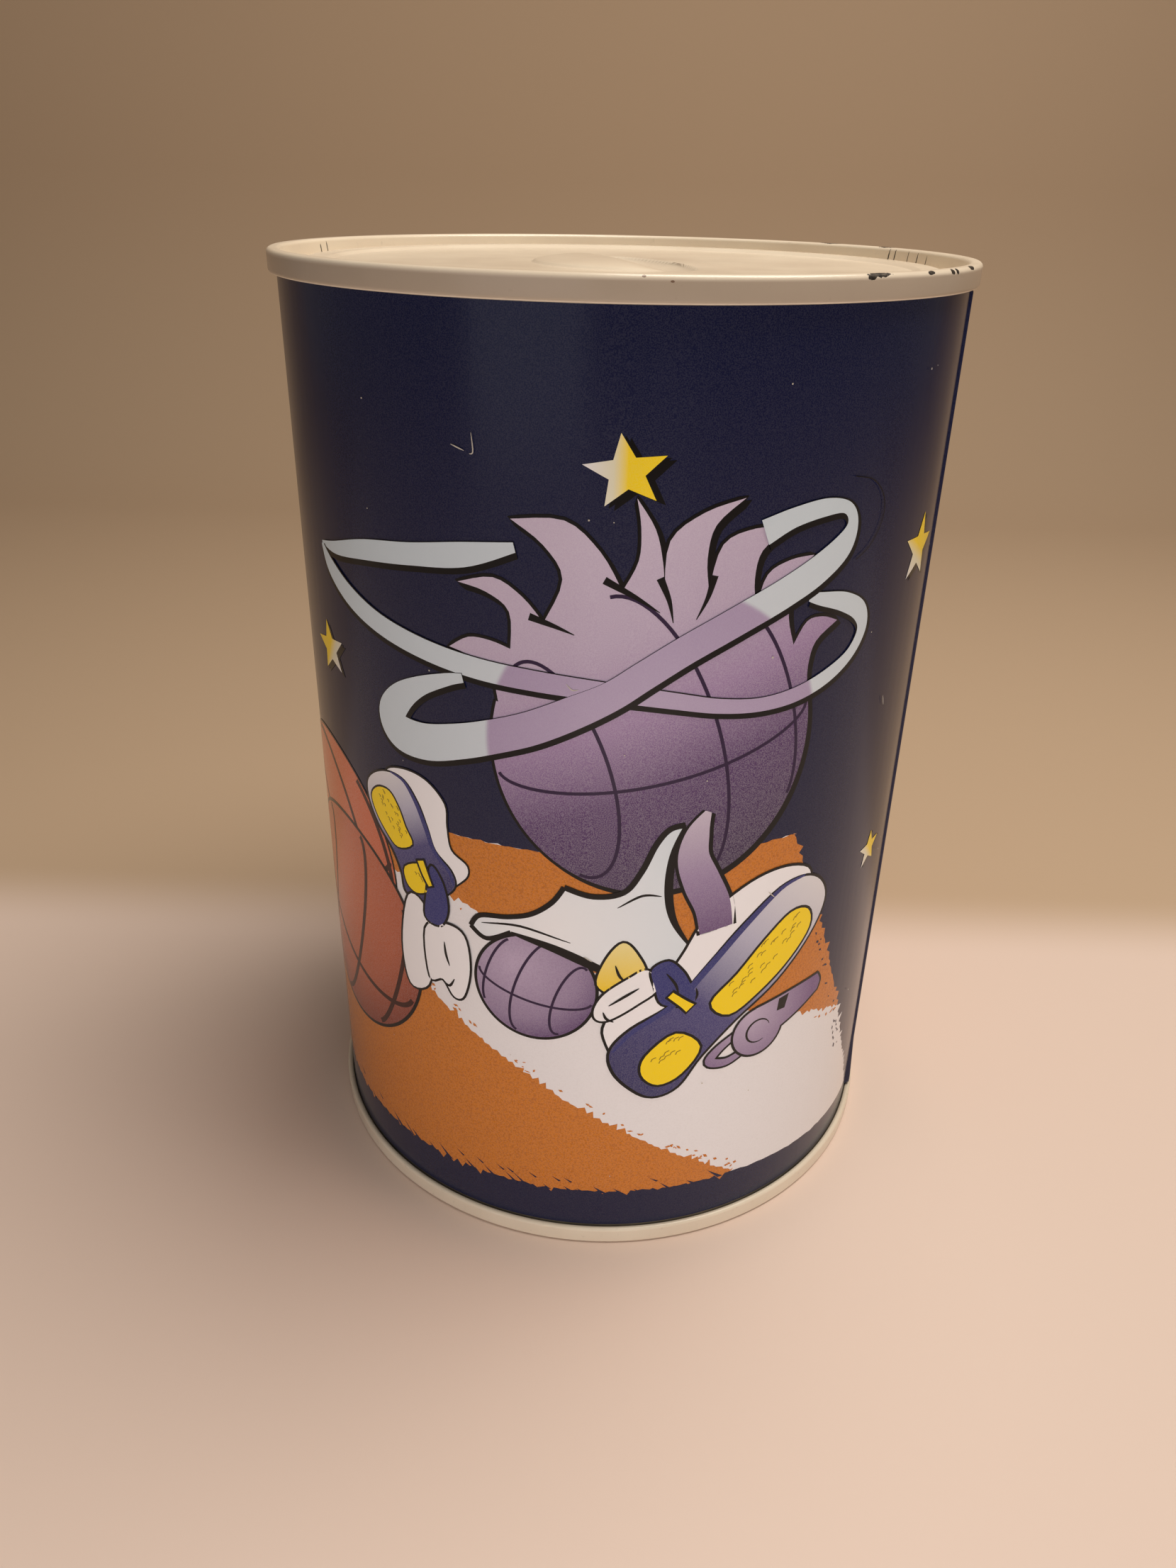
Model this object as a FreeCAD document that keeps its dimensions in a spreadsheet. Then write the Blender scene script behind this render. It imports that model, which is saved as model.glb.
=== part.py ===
import FreeCAD, Part
import os
import Sketcher

# Round tin money box, 99 mm across and 149 mm tall, made of three sheets of lacquered tinplate.
# The origin is the centre of the base, +Z runs up the can's axis, and +X is to the right of the front.
#   body_shell  the printed sheet, rolled into a tube, hooked along its lock seam, flanged at both ends
#   top_end     the pressed lid: a recessed panel with the lanced coin slot, curled over the body's flange
#   bottom_end  the pressed base, curled over the body's other flange
# Each double seam has five layers, from the inside out: the end's chuck wall, the body's wall, the end's
# hook, the body's hook and the end's seaming wall. Every layer keeps a small gap to the next.

DIMENSIONS = (
    # alias, millimetres or degrees, meaning
    ("can_height", 149.0, "base to crest, over both double seams"),
    ("tube_radius", 49.65, "outer skin of the rolled body"),
    ("sheet", 0.28, "thickness of the tinplate"),
    ("layer_gap", 0.10, "clearance between two layers of a double seam"),
    ("seam_height", 3.1, "crest to the lower edge of a double seam"),
    ("crest_bend", 0.48, "mid-line bend radius over the crest"),
    ("hook_bend", 0.36, "mid-line bend radius of the curl and of the body's flange"),
    ("end_hook_top", 1.05, "crest to the upper edge of the end's hook"),
    ("body_hook_foot", 2.5, "crest to the free edge of the body's hook"),
    ("wall_taper", 0.5, "how far the chuck wall leans in at its foot"),
    ("sink_depth", 3.3, "crest to the floor of the countersink groove"),
    ("sink_width", 1.75, "flat width of the countersink groove"),
    ("panel_rise_run", 1.3, "width of the slope from the groove up to the panel's rim"),
    ("panel_depth", 1.85, "crest to the flat panel"),
    ("rim_bead_width", 2.9, "width of the raised bead around the panel"),
    ("bead_height", 0.42, "how far a bead stands above the panel"),
    ("bead_slope", 0.7, "width of each slope of a bead"),
    ("panel_bend", 0.5, "mid-line bend radius of the beads and of the groove"),
    ("base_bead_radius", 30.0, "inner radius of the stiffening bead in the base"),
    ("base_bead_width", 3.2, "width of that bead's flat top"),
    ("slot_length", 34.0, "coin slot, end to end"),
    ("slot_width", 2.4, "gap between the slot's two lips"),
    ("slot_offset", 1.9, "slot centre line to the can's axis"),
    ("slot_shift", -0.7, "slot middle along its own line"),
    ("slot_angle", 19.0, "turn of the slot about the axis, from the front-to-back line"),
    ("lip_rise", 1.25, "height of the raised lip above the panel"),
    ("lip_reach", 15.2, "how far the raised lip spreads from the slot's centre line"),
    ("lip_drop", 1.4, "depth of the sunk lip below the panel"),
    ("drop_reach", 6.8, "how far the sunk lip spreads from the slot's centre line"),
    ("lock_width", 3.8, "width of the lock seam"),
    ("lock_proud", 0.45, "how far the lock seam stands off the tube"),
    ("lock_flare", 0.85, "how far its lower tail stands off the tube"),
    ("flare_height", 11.0, "height of the flared tail"),
    ("lock_clear", 0.35, "gap between the lock seam and each double seam"),
    ("lock_angle", -13.5, "place of the lock seam around the axis, from +X"),
)

UP = FreeCAD.Vector(0, 0, 1)
ALONG_X = FreeCAD.Vector(1, 0, 0)
UPRIGHT = FreeCAD.Rotation(ALONG_X, 90)


def bound(text):
    """Turn an expression on dimension names, each written with a leading $, into a sheet expression."""
    return text.replace("$", "<<dimensions>>.")


def write_dimensions(document):
    """Put every driving dimension in the spreadsheet, one row each: name, value, meaning."""
    sheet = document.addObject("Spreadsheet::Sheet", "dimensions")
    for row, (alias, value, meaning) in enumerate(DIMENSIONS, start=1):
        sheet.set(f"A{row}", alias)
        sheet.set(f"B{row}", str(value))
        sheet.setAlias(f"B{row}", alias)
        sheet.set(f"C{row}", meaning)
    document.recompute()


def add(document, kind, name, links=None, **bindings):
    """Add a document object, set its linked inputs and bind its properties to expressions."""
    item = document.addObject(kind, name)
    for prop, value in (links or {}).items():
        setattr(item, prop, value)
    for prop, text in bindings.items():
        item.setExpression(prop.replace("__", "."), bound(text))
    return item


def pin_point(sketch, place, line, end, radius_text, height_text):
    """Fix one end of a line at a radius and a height, both bound to expressions."""
    for kind, text in (("DistanceX", radius_text), ("DistanceY", height_text)):
        value = float(sketch.evalExpression(bound(text)))
        constraint = Sketcher.Constraint(kind, -1, 1, line, end, value)
        bind_constraint(sketch, constraint, f"{place}_{kind[-1].lower()}", text)


def bind_constraint(sketch, constraint, label, text):
    """Add a named constraint to a sketch and bind it to an expression."""
    index = sketch.addConstraint(constraint)
    sketch.renameConstraint(index, label)
    sketch.setExpression(f"Constraints.{label}", bound(text))


def bend(sketch, line, label, text):
    """Round the corner where a line starts, with a radius bound to an expression."""
    radius = float(sketch.evalExpression(bound(text)))
    sketch.fillet(line, 1, radius, True, True)
    arc = sketch.GeometryCount - 2
    bind_constraint(sketch, Sketcher.Constraint("Radius", arc, radius), label, text)


def upright_path(document, name, corners, closed=False):
    """Draw a path in the XZ plane through (radius, height, bend) corners given as expressions.

    A corner whose bend is None stays sharp; any other corner is rounded with that radius.
    """
    sketch = document.addObject("Sketcher::SketchObject", name)
    sketch.Placement = FreeCAD.Placement(FreeCAD.Vector(), UPRIGHT)
    places = [
        FreeCAD.Vector(*(float(sketch.evalExpression(bound(text))) for text in corner[:2]), 0)
        for corner in corners
    ]
    pairs = list(zip(places, places[1:] + places[:1]))
    if not closed:
        pairs.pop()
    lines = [sketch.addGeometry(Part.LineSegment(start, end), False) for start, end in pairs]
    for line, after in zip(lines, lines[1:]):
        sketch.addConstraint(Sketcher.Constraint("Coincident", line, 2, after, 1))
    if closed:
        sketch.addConstraint(Sketcher.Constraint("Coincident", lines[-1], 2, lines[0], 1))
    for number, (radius_text, height_text, _) in enumerate(corners):
        line = min(number, len(lines) - 1)
        end = 1 if number < len(lines) else 2
        pin_point(sketch, f"corner{number}", line, end, radius_text, height_text)
    for number, (_, _, bend_text) in enumerate(corners):
        if bend_text is not None:
            bend(sketch, lines[number], f"bend{number}", bend_text)
    return sketch


def spun_sheet(document, name, corners):
    """Revolve a bent sheet about the can's axis, given the path of the sheet's mid-line.

    A path that starts on the axis gets a rounded end there, so the section keeps only its outer half.
    """
    path = upright_path(document, f"{name}_path", corners)
    band = add(document, "Part::Offset2D", f"{name}_band", {"Source": path, "Fill": True},
               Value="$sheet / 2")
    outer_half = add(document, "Part::Plane", f"{name}_half",
                     {"Placement": FreeCAD.Placement(FreeCAD.Vector(), UPRIGHT)},
                     Length="2 * $tube_radius", Width="3 * $can_height",
                     Placement__Base__z="-$can_height")
    section = add(document, "Part::Common", f"{name}_section", {"Base": band, "Tool": outer_half})
    return add(document, "Part::Revolution", f"{name}_spun",
               {"Source": section, "Axis": UP, "Angle": 360.0})


def fused(document, name, *parts):
    """Join several shapes into one."""
    return add(document, "Part::MultiFuse", name, {"Shapes": list(parts)})


def cut(document, name, base, tool):
    """Take one shape away from another."""
    return add(document, "Part::Cut", name, {"Base": base, "Tool": tool})


# Mid-lines of the layers: each lies one pitch outside the one before it.
PITCH = "($sheet + $layer_gap)"
WALL = "($tube_radius - $sheet / 2)"
CHUCK_WALL = f"({WALL} - {PITCH})"
END_HOOK = f"({WALL} + {PITCH})"
BODY_HOOK = f"({WALL} + 2 * {PITCH})"
SEAMING_WALL = f"({WALL} + 3 * {PITCH})"


def body_shell(document):
    """The rolled tube: a flanged and hooked wall with the lock seam standing on its outer skin."""
    flange = f"$can_height - $sheet / 2 - {PITCH}"
    base_flange = f"$sheet / 2 + {PITCH}"
    wall = spun_sheet(document, "wall", (
        (BODY_HOOK, "$body_hook_foot", None),
        (BODY_HOOK, base_flange, "$hook_bend"),
        (WALL, base_flange, "$hook_bend"),
        (WALL, flange, "$hook_bend"),
        (BODY_HOOK, flange, "$hook_bend"),
        (BODY_HOOK, "$can_height - $body_hook_foot", None),
    ))
    foot = "$seam_height + $lock_clear"
    head = f"$can_height - {foot.replace('+', '-')}"
    profile = upright_path(document, "lock_profile", (
        (WALL, foot, None),
        ("$tube_radius + $lock_flare", foot, None),
        ("$tube_radius + $lock_flare", f"{foot} + 0.15 * $flare_height", None),
        ("$tube_radius + $lock_proud", f"{foot} + $flare_height", None),
        ("$tube_radius + $lock_proud", head, None),
        (WALL, head, None),
    ), closed=True)
    fold = add(document, "Part::Extrusion", "lock_fold",
               {"Base": profile, "DirMode": "Normal", "Solid": True, "Symmetric": True},
               LengthFwd="$lock_width")
    shell = fused(document, "body_shell", wall, fold)
    shell.setExpression("Placement.Rotation.Angle", bound("$lock_angle"))
    return shell


def pressed_end(document, name, beads):
    """An end with its crest at height 0, opening upwards: panel, groove, chuck wall, curl and hook.

    beads lists the raised rings inside the panel's rim as (inner radius, flat width) expressions.
    """
    floor = "-($panel_depth + $sheet / 2)"
    top = f"{floor} + $bead_height"
    sink = "-($sink_depth + $sheet / 2)"
    foot = f"({CHUCK_WALL} - $wall_taper)"
    groove = f"({foot} - $sink_width)"
    rim = f"({groove} - $panel_rise_run)"
    crest = "-$sheet / 2"
    curl = "-($seam_height - $sheet / 2)"
    corners = [("0", floor, None)]
    for start, width in beads:
        corners += [
            (start, floor, "$panel_bend"),
            (f"{start} + $bead_slope", top, "$panel_bend"),
            (f"{start} + $bead_slope + {width}", top, "$panel_bend"),
            (f"{start} + 2 * $bead_slope + {width}", floor, "$panel_bend"),
        ]
    corners += [
        (f"{rim} - $rim_bead_width - $bead_slope", floor, "$panel_bend"),
        (f"{rim} - $rim_bead_width", top, "$panel_bend"),
        (rim, top, "$panel_bend"),
        (groove, sink, "$panel_bend"),
        (foot, sink, "$panel_bend"),
        (CHUCK_WALL, crest, "$crest_bend"),
        (SEAMING_WALL, crest, "$crest_bend"),
        (SEAMING_WALL, curl, "$hook_bend"),
        (END_HOOK, curl, "$hook_bend"),
        (END_HOOK, "-$end_hook_top", None),
    ]
    return spun_sheet(document, name, corners)


def lip(document, name, side, rise, reach, level):
    """One lip of the lanced slot: a half-dome of sheet, and the hollow behind it.

    side is 1 for the raised lip left of the slot and -1 for the sunk lip right of it. The dome stands
    rise off the face at level; the hollow is the same half-ellipsoid moved back by the sheet.
    """
    turned = FreeCAD.Placement(FreeCAD.Vector(), FreeCAD.Rotation(UP, side * 90))
    return [
        add(document, "Part::Ellipsoid", f"{name}_{part}", {"Angle3": 180.0, "Placement": turned},
            Radius1=rise, Radius2="$slot_length / 2", Radius3=reach,
            Placement__Base__x="$slot_offset", Placement__Base__y="$slot_shift",
            Placement__Base__z=f"{level} - {side} * {back}")
        for part, back in (("dome", "0"), ("hollow", "$sheet"))
    ]


def slot_cutter(document):
    """A long round-ended block through the panel, which parts the slot's two lips."""
    block = add(document, "Part::Box", "slot_middle", None,
                Length="$slot_width", Width="$slot_length - $slot_width", Height="2 * $seam_height",
                Placement__Base__x="$slot_offset - $slot_width / 2",
                Placement__Base__y="$slot_shift - ($slot_length - $slot_width) / 2",
                Placement__Base__z="-$panel_depth - $seam_height")
    ends = [
        add(document, "Part::Cylinder", f"slot_{name}", None,
            Radius="$slot_width / 2", Height="2 * $seam_height",
            Placement__Base__x="$slot_offset",
            Placement__Base__y=f"$slot_shift {sign} ($slot_length - $slot_width) / 2",
            Placement__Base__z="-$panel_depth - $seam_height")
        for name, sign in (("front", "-"), ("back", "+"))
    ]
    return fused(document, "slot_cutter", block, *ends)


def top_end(document):
    """The lid: a pressed end whose panel is lanced by the coin slot and turned to the slot's angle."""
    plain = pressed_end(document, "lid", [])
    raised, raised_hollow = lip(document, "raised_lip", 1, "$lip_rise", "$lip_reach", "-$panel_depth")
    sunk, sunk_hollow = lip(document, "sunk_lip", -1, "$lip_drop", "$drop_reach",
                            "-$panel_depth - $sheet")
    domed = fused(document, "domed_lid", plain, raised, sunk)
    hollows = fused(document, "lid_hollows", raised_hollow, sunk_hollow, slot_cutter(document))
    end = cut(document, "top_end", domed, hollows)
    end.setExpression("Placement.Base.z", bound("$can_height"))
    end.setExpression("Placement.Rotation.Angle", bound("$slot_angle"))
    return end


def bottom_end(document):
    """The base: a pressed end with one stiffening bead, turned over so that its crest is the foot."""
    end = pressed_end(document, "base", [("$base_bead_radius", "$base_bead_width")])
    end.Label = "bottom_end"
    end.Placement = FreeCAD.Placement(FreeCAD.Vector(), FreeCAD.Rotation(ALONG_X, 180))
    return end


def check_and_export(document, nodes):
    """Stop on any failed object, then write each node's shape to its own STEP file."""
    document.recompute()
    failed = [item.Name for item in document.Objects if {"Invalid", "Error"} & set(item.State)]
    if failed:
        raise RuntimeError(f"failed objects: {failed}")
    for node in nodes:
        if node.Shape.isNull() or not node.Shape.isValid() or len(node.Shape.Solids) != 1:
            raise RuntimeError(f"{node.Label} is not one valid solid")
    os.makedirs("parts", exist_ok=True)
    for node in nodes:
        node.Shape.exportStep(f"parts/{node.Label}.step")
        box = node.Shape.BoundBox
        print(f"{node.Label}: {node.Shape.Volume:.1f} mm3, "
              f"{box.XLength:.2f} x {box.YLength:.2f} x {box.ZLength:.2f} mm, "
              f"z {box.ZMin:.2f} to {box.ZMax:.2f}")


doc = FreeCAD.newDocument("money_box")
write_dimensions(doc)
check_and_export(doc, [body_shell(doc), top_end(doc), bottom_end(doc)])
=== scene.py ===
"""Round tin money box: a printed tinplate tube, two pressed cream ends and a lanced coin slot."""

import logging
import math
import random
from collections.abc import Callable, Iterable, Sequence
from dataclasses import dataclass
from enum import Enum
from typing import Any

import bmesh
import bpy
import numpy as np
from mathutils import Matrix, Vector
from mathutils.geometry import delaunay_2d_cdt


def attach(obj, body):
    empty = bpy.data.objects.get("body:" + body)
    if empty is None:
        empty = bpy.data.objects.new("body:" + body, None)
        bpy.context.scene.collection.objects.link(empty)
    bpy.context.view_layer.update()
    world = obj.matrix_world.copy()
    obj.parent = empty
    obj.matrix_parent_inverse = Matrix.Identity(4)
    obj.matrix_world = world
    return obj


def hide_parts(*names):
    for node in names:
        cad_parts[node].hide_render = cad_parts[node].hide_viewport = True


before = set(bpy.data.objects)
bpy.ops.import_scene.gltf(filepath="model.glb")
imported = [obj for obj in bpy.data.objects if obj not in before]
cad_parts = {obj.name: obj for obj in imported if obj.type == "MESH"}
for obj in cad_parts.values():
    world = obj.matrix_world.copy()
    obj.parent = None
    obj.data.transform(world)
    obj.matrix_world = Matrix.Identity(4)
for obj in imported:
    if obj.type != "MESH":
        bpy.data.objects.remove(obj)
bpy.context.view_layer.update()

LOG = logging.getLogger("money_box")
MM = 0.001
ROOT = "root"

Point = tuple[float, float]
Path = list[Point]
Colour = tuple[float, float, float]


# ---------------------------------------------------------------- shader tools


def ink(red: int, green: int, blue: int) -> Colour:
    """Turn an 8-bit display colour into the linear colour that a shader takes.

    Args:
        red, green, blue: the display colour, 0 to 255 each.

    Returns:
        The linear colour.
    """
    return tuple(
        level / 12.92 if level <= 0.04045 else ((level + 0.055) / 1.055) ** 2.4
        for level in (red / 255, green / 255, blue / 255)
    )


class Value:
    """A shader number. Python's operators on it add Math nodes to its tree."""

    def __init__(self, tree: "Tree", socket: bpy.types.NodeSocket) -> None:
        """Wrap one output socket of a tree."""
        self.tree = tree
        self.socket = socket

    def __add__(self, other: "Value | float") -> "Value":
        """Add."""
        return self.tree.maths("ADD", self, other)

    def __sub__(self, other: "Value | float") -> "Value":
        """Subtract."""
        return self.tree.maths("SUBTRACT", self, other)

    def __mul__(self, other: "Value | float") -> "Value":
        """Multiply."""
        return self.tree.maths("MULTIPLY", self, other)

    def __truediv__(self, other: "Value | float") -> "Value":
        """Divide."""
        return self.tree.maths("DIVIDE", self, other)

    def __pow__(self, other: float) -> "Value":
        """Raise to a power."""
        return self.tree.maths("POWER", self, other)

    def __or__(self, other: "Value") -> "Value":
        """Take the larger of two masks."""
        return self.tree.maths("MAXIMUM", self, other)

    __radd__ = __add__
    __rmul__ = __mul__


class Tree:
    """The node tree of one new material, with a method for every kind of node it needs."""

    def __init__(self, name: str) -> None:
        """Make an empty material."""
        self.material = bpy.data.materials.new(name)
        self.material.use_nodes = True
        self.nodes = self.material.node_tree.nodes
        self.links = self.material.node_tree.links
        self.nodes.clear()

    def node(self, kind: str, settings: dict[str, Any] | None = None,
             inputs: dict[str | int, Any] | None = None) -> bpy.types.Node:
        """Add a node.

        Args:
            kind: the node's type name, without its ShaderNode prefix.
            settings: its properties; "stops" holds a ramp's (position, colour) pairs.
            inputs: values, sockets or Values by socket name or number.

        Returns:
            The new node.
        """
        made = self.nodes.new("ShaderNode" + kind)
        for key, value in (settings or {}).items():
            if key == "stops":
                self._set_stops(made.color_ramp, value)
            else:
                setattr(made, key, value)
        for key, value in (inputs or {}).items():
            socket = made.inputs[key]
            source = value.socket if isinstance(value, Value) else value
            if isinstance(source, bpy.types.NodeSocket):
                self.links.new(source, socket)
            elif socket.type == "RGBA" and len(source) == 3:
                socket.default_value = (*source, 1.0)
            else:
                socket.default_value = source
        return made

    @staticmethod
    def _set_stops(ramp: bpy.types.ColorRamp, stops: Sequence[tuple[float, Colour]]) -> None:
        """Give a colour ramp its stops.

        Args:
            ramp: the ramp of a new node.
            stops: (position, colour) pairs in rising order.
        """
        while len(ramp.elements) < len(stops):
            ramp.elements.new(1.0)
        for element, (position, colour) in zip(ramp.elements, stops):
            element.position = position
            element.color = (*colour, 1.0)

    def maths(self, operation: str, *operands: "Value | float") -> Value:
        """Add a Math node."""
        made = self.node("Math", {"operation": operation}, dict(enumerate(operands)))
        return Value(self, made.outputs[0])

    def place(self) -> tuple[Value, Value, Value]:
        """Find the point being shaded.

        Returns:
            Its x, y and z in millimetres, in the can's frame.
        """
        where = self.node("TexCoord").outputs["Object"]
        split = self.node("SeparateXYZ", None, {0: where})
        return tuple(Value(self, split.outputs[axis]) * (1 / MM) for axis in range(3))

    def vector(self, *parts: "Value | float") -> bpy.types.NodeSocket:
        """Join three numbers into a vector."""
        return self.node("CombineXYZ", None, dict(enumerate(parts))).outputs[0]

    def noise(self, where: bpy.types.NodeSocket, scale: float, detail: float = 2.0) -> Value:
        """Smooth noise from 0 to 1; scale counts features per millimetre."""
        made = self.node("TexNoise", None, {"Vector": where, "Scale": scale, "Detail": detail})
        return Value(self, made.outputs["Fac"])

    def step(self, value: Value, low: float, high: float) -> Value:
        """Rise smoothly from 0 at low to 1 at high; low may be the larger."""
        made = self.node("MapRange", {"interpolation_type": "SMOOTHSTEP"},
                         {"Value": value, "From Min": low, "From Max": high})
        return Value(self, made.outputs["Result"])

    def mix(self, amount: Value, first: Any, second: Any) -> bpy.types.NodeSocket:
        """Mix two colours, each a plain colour or a socket, by a number from 0 to 1."""
        made = self.node("Mix", {"data_type": "RGBA"}, {"Factor": amount, 6: first, 7: second})
        return made.outputs[2]

    def ramp(self, amount: Value, stops: Sequence[tuple[float, Colour]]) -> bpy.types.NodeSocket:
        """Look a number up in a colour ramp."""
        return self.node("ValToRGB", {"stops": stops}, {"Fac": amount}).outputs["Color"]

    def finish(self, surface: dict[str, Any], height: Value | None = None,
               relief: float = 0.0) -> bpy.types.Material:
        """Close the tree with one Principled shader.

        Args:
            surface: the shader's inputs.
            height: the surface's relief, 0 to 1, if it has one.
            relief: how many millimetres a height of 1 stands for.

        Returns:
            The finished material.
        """
        shader = self.node("BsdfPrincipled", None, surface)
        if height is not None:
            bump = self.node("Bump", None, {"Strength": 1.0, "Distance": relief * MM, "Height": height})
            self.links.new(bump.outputs[0], shader.inputs["Normal"])
        output = self.node("OutputMaterial")
        self.links.new(shader.outputs[0], output.inputs["Surface"])
        return self.material


# ---------------------------------------------------------------- finishes

NAVY = ink(10, 18, 58)
BLACK = ink(7, 7, 11)
WHITE = ink(240, 238, 242)
YELLOW = ink(255, 220, 4)
ORANGE = ink(208, 124, 32)
VIOLET = ink(46, 50, 118)
CREAM = ink(236, 224, 204)
RUST = ink(96, 58, 34)

TUBE_RADIUS = 49.65
LACQUER_ROUGHNESS = 0.16
INK_IOR = 1.4
LACQUER_IOR = 1.5


class Spread(Enum):
    """How an ink's colours run over its shape."""

    LINEAR = "linear"
    ROUND = "round"


@dataclass(frozen=True)
class Ink:
    """A lacquered printing ink, plain or blended, on the tube's skin.

    The blend is laid out on the flat sheet: across is millimetres around the tube from the front's
    middle, height is millimetres above the base.
    """

    name: str
    stops: tuple[tuple[float, Colour], ...]
    across: float = 0.0
    height: float = 0.0
    reach: float = 20.0
    heading: float = 90.0
    spread: Spread = Spread.LINEAR
    grain: float = 0.0
    grain_colour: Colour = BLACK
    screen: float = 0.05
    roughness: float = LACQUER_ROUGHNESS

    def material(self) -> bpy.types.Material:
        """Build the ink's material: blend, printed grain, halftone screen and lacquer.

        Returns:
            The finished material.
        """
        tree = Tree(self.name)
        x, y, z = tree.place()
        turn = self.across / TUBE_RADIUS
        along = x * math.cos(turn) + y * math.sin(turn)
        up = z - self.height
        if self.spread is Spread.ROUND:
            amount = (along * along + up * up) ** 0.5 / self.reach
        else:
            slant = math.radians(self.heading)
            amount = (along * math.cos(slant) + up * math.sin(slant)) / self.reach
        if len(self.stops) > 1:
            colour = tree.ramp(amount, self.stops)
        else:
            colour = self.stops[0][1]
        where = tree.vector(x, y, z)
        if self.grain:
            speckle = tree.step(tree.noise(where, 3.2, 3.0), 0.42, 0.68)
            colour = tree.mix(speckle * self.grain, colour, self.grain_colour)
        if self.screen:
            dots = tree.step(tree.noise(where, 7.0, 1.0), 0.35, 0.65)
            colour = tree.mix(dots * self.screen, colour, WHITE)
        rolled = tree.noise(tree.vector(x, y, z * 0.02), 0.5, 3.0)
        peel = tree.noise(where, 1.6, 1.0)
        smear = tree.noise(tree.vector(x, y, z * 0.2), 0.16, 3.0)
        roughness = self.roughness + 0.10 * smear
        return tree.finish({"Base Color": colour, "Roughness": roughness, "IOR": INK_IOR},
                           rolled + peel * 0.08, 0.02)


@dataclass(frozen=True)
class BareTin:
    """Plain tinplate, as on the tube's inside."""

    name: str = "bare_tinplate"

    def material(self) -> bpy.types.Material:
        """Build dull rolled tinplate with fine grain along the rolling direction.

        Returns:
            The finished material.
        """
        tree = Tree(self.name)
        x, y, z = tree.place()
        grain = tree.noise(tree.vector(x * 0.1, y * 0.1, z), 4.0, 4.0)
        bloom = tree.noise(tree.vector(x, y, z), 0.12, 3.0)
        colour = tree.ramp(bloom, ((0.3, ink(128, 126, 122)), (0.7, ink(176, 172, 164))))
        return tree.finish({"Base Color": colour, "Metallic": 1.0, "Roughness": 0.32 + 0.2 * grain},
                           grain, 0.01)


@dataclass(frozen=True)
class Chip:
    """A ragged oval where the lacquer is gone: its bearing in degrees, radius and height, half its
    width and half its height."""

    bearing: float
    radius: float
    height: float
    width: float
    tall: float


@dataclass(frozen=True)
class CreamLacquer:
    """Thick glossy off-white lacquer with chips down to dark steel, rust specks, rubbed seams and painted
    shade on the seam's outer wall.
    """

    name: str
    chips: tuple[Chip, ...] = ()
    stains: tuple[Chip, ...] = ()
    wear: float = 0.5
    # The band of painted shade on the seam's upright outer wall: its top height, its radii and its fade;
    # a top of 0 leaves it out.
    rim_shade_below: float = 0.0
    rim_shade_radius: tuple[float, float] = (50.62, 50.72)
    rim_shade_fade: float = 0.5
    raggedness: float = 2.6

    def _spots(self, tree: Tree, spots: Iterable[Chip], ragged: Value) -> Value | None:
        """Mask the given spots.

        Args:
            tree: the lacquer's tree.
            spots: the ovals.
            ragged: noise about zero that breaks up their edges.

        Returns:
            The mask, or None if there are no spots.
        """
        x, y, z = tree.place()
        total = None
        for spot in spots:
            angle = math.radians(spot.bearing)
            along = x * -math.sin(angle) + y * math.cos(angle)
            outward = x * math.cos(angle) + y * math.sin(angle) - spot.radius
            tall = z - spot.height
            away = (along / spot.width) ** 2.0 + (tall * tall + outward * outward) / spot.tall ** 2
            mask = tree.step(away + ragged * self.raggedness, 1.2, 0.9)
            total = mask if total is None else total | mask
        return total

    def material(self) -> bpy.types.Material:
        """Build the lacquer with its chips, stains, handling marks, orange peel and the painted shade on
        the seam's outer wall.

        Returns:
            The finished material.
        """
        tree = Tree(self.name)
        x, y, z = tree.place()
        where = tree.vector(x, y, z)
        ragged = tree.noise(where, 1.9, 5.0) - 0.5
        cloud = tree.noise(where, 0.07, 3.0)
        colour = tree.ramp(cloud, ((0.3, ink(228, 214, 194)), (0.7, CREAM)))
        grime = tree.step(tree.noise(where, 0.9, 6.0), 0.62, 0.8) * (0.35 * self.wear)
        colour = tree.mix(grime, colour, ink(150, 132, 110))
        # Painted shade: below the crest, the seam's upright outer wall is mixed towards a darker tan, as
        # if it were out of the light from above.
        if self.rim_shade_below:
            outer = (x * x + y * y) ** 0.5
            upright = tree.step(z, self.rim_shade_below, self.rim_shade_below - self.rim_shade_fade)
            rim_shade = tree.step(outer, *self.rim_shade_radius) * upright
            colour = tree.mix(rim_shade * (0.55 + 0.3 * cloud), colour, ink(160, 142, 124))
        roughness = LACQUER_ROUGHNESS + 0.12 * cloud + 0.2 * grime
        metallic: Value | float = 0.0
        height = tree.noise(where, 0.8, 2.0) * 0.3
        stains = self._spots(tree, self.stains, ragged)
        if stains is not None:
            colour = tree.mix(stains * 0.75, colour, RUST)
        chips = self._spots(tree, self.chips, ragged)
        if chips is not None:
            mottle = tree.noise(where, 2.5, 4.0)
            steel = tree.ramp(mottle, ((0.35, ink(40, 36, 34)), (0.7, ink(92, 84, 76))))
            colour = tree.mix(chips, colour, steel)
            metallic = chips * 0.7
            roughness = roughness + 0.25 * chips
            height = height - chips
        surface = {"Base Color": colour, "Roughness": roughness, "Metallic": metallic, "IOR": LACQUER_IOR}
        return tree.finish(surface, height, 0.03)


# ---------------------------------------------------------------- mesh tools

WELD = 0.002


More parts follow.
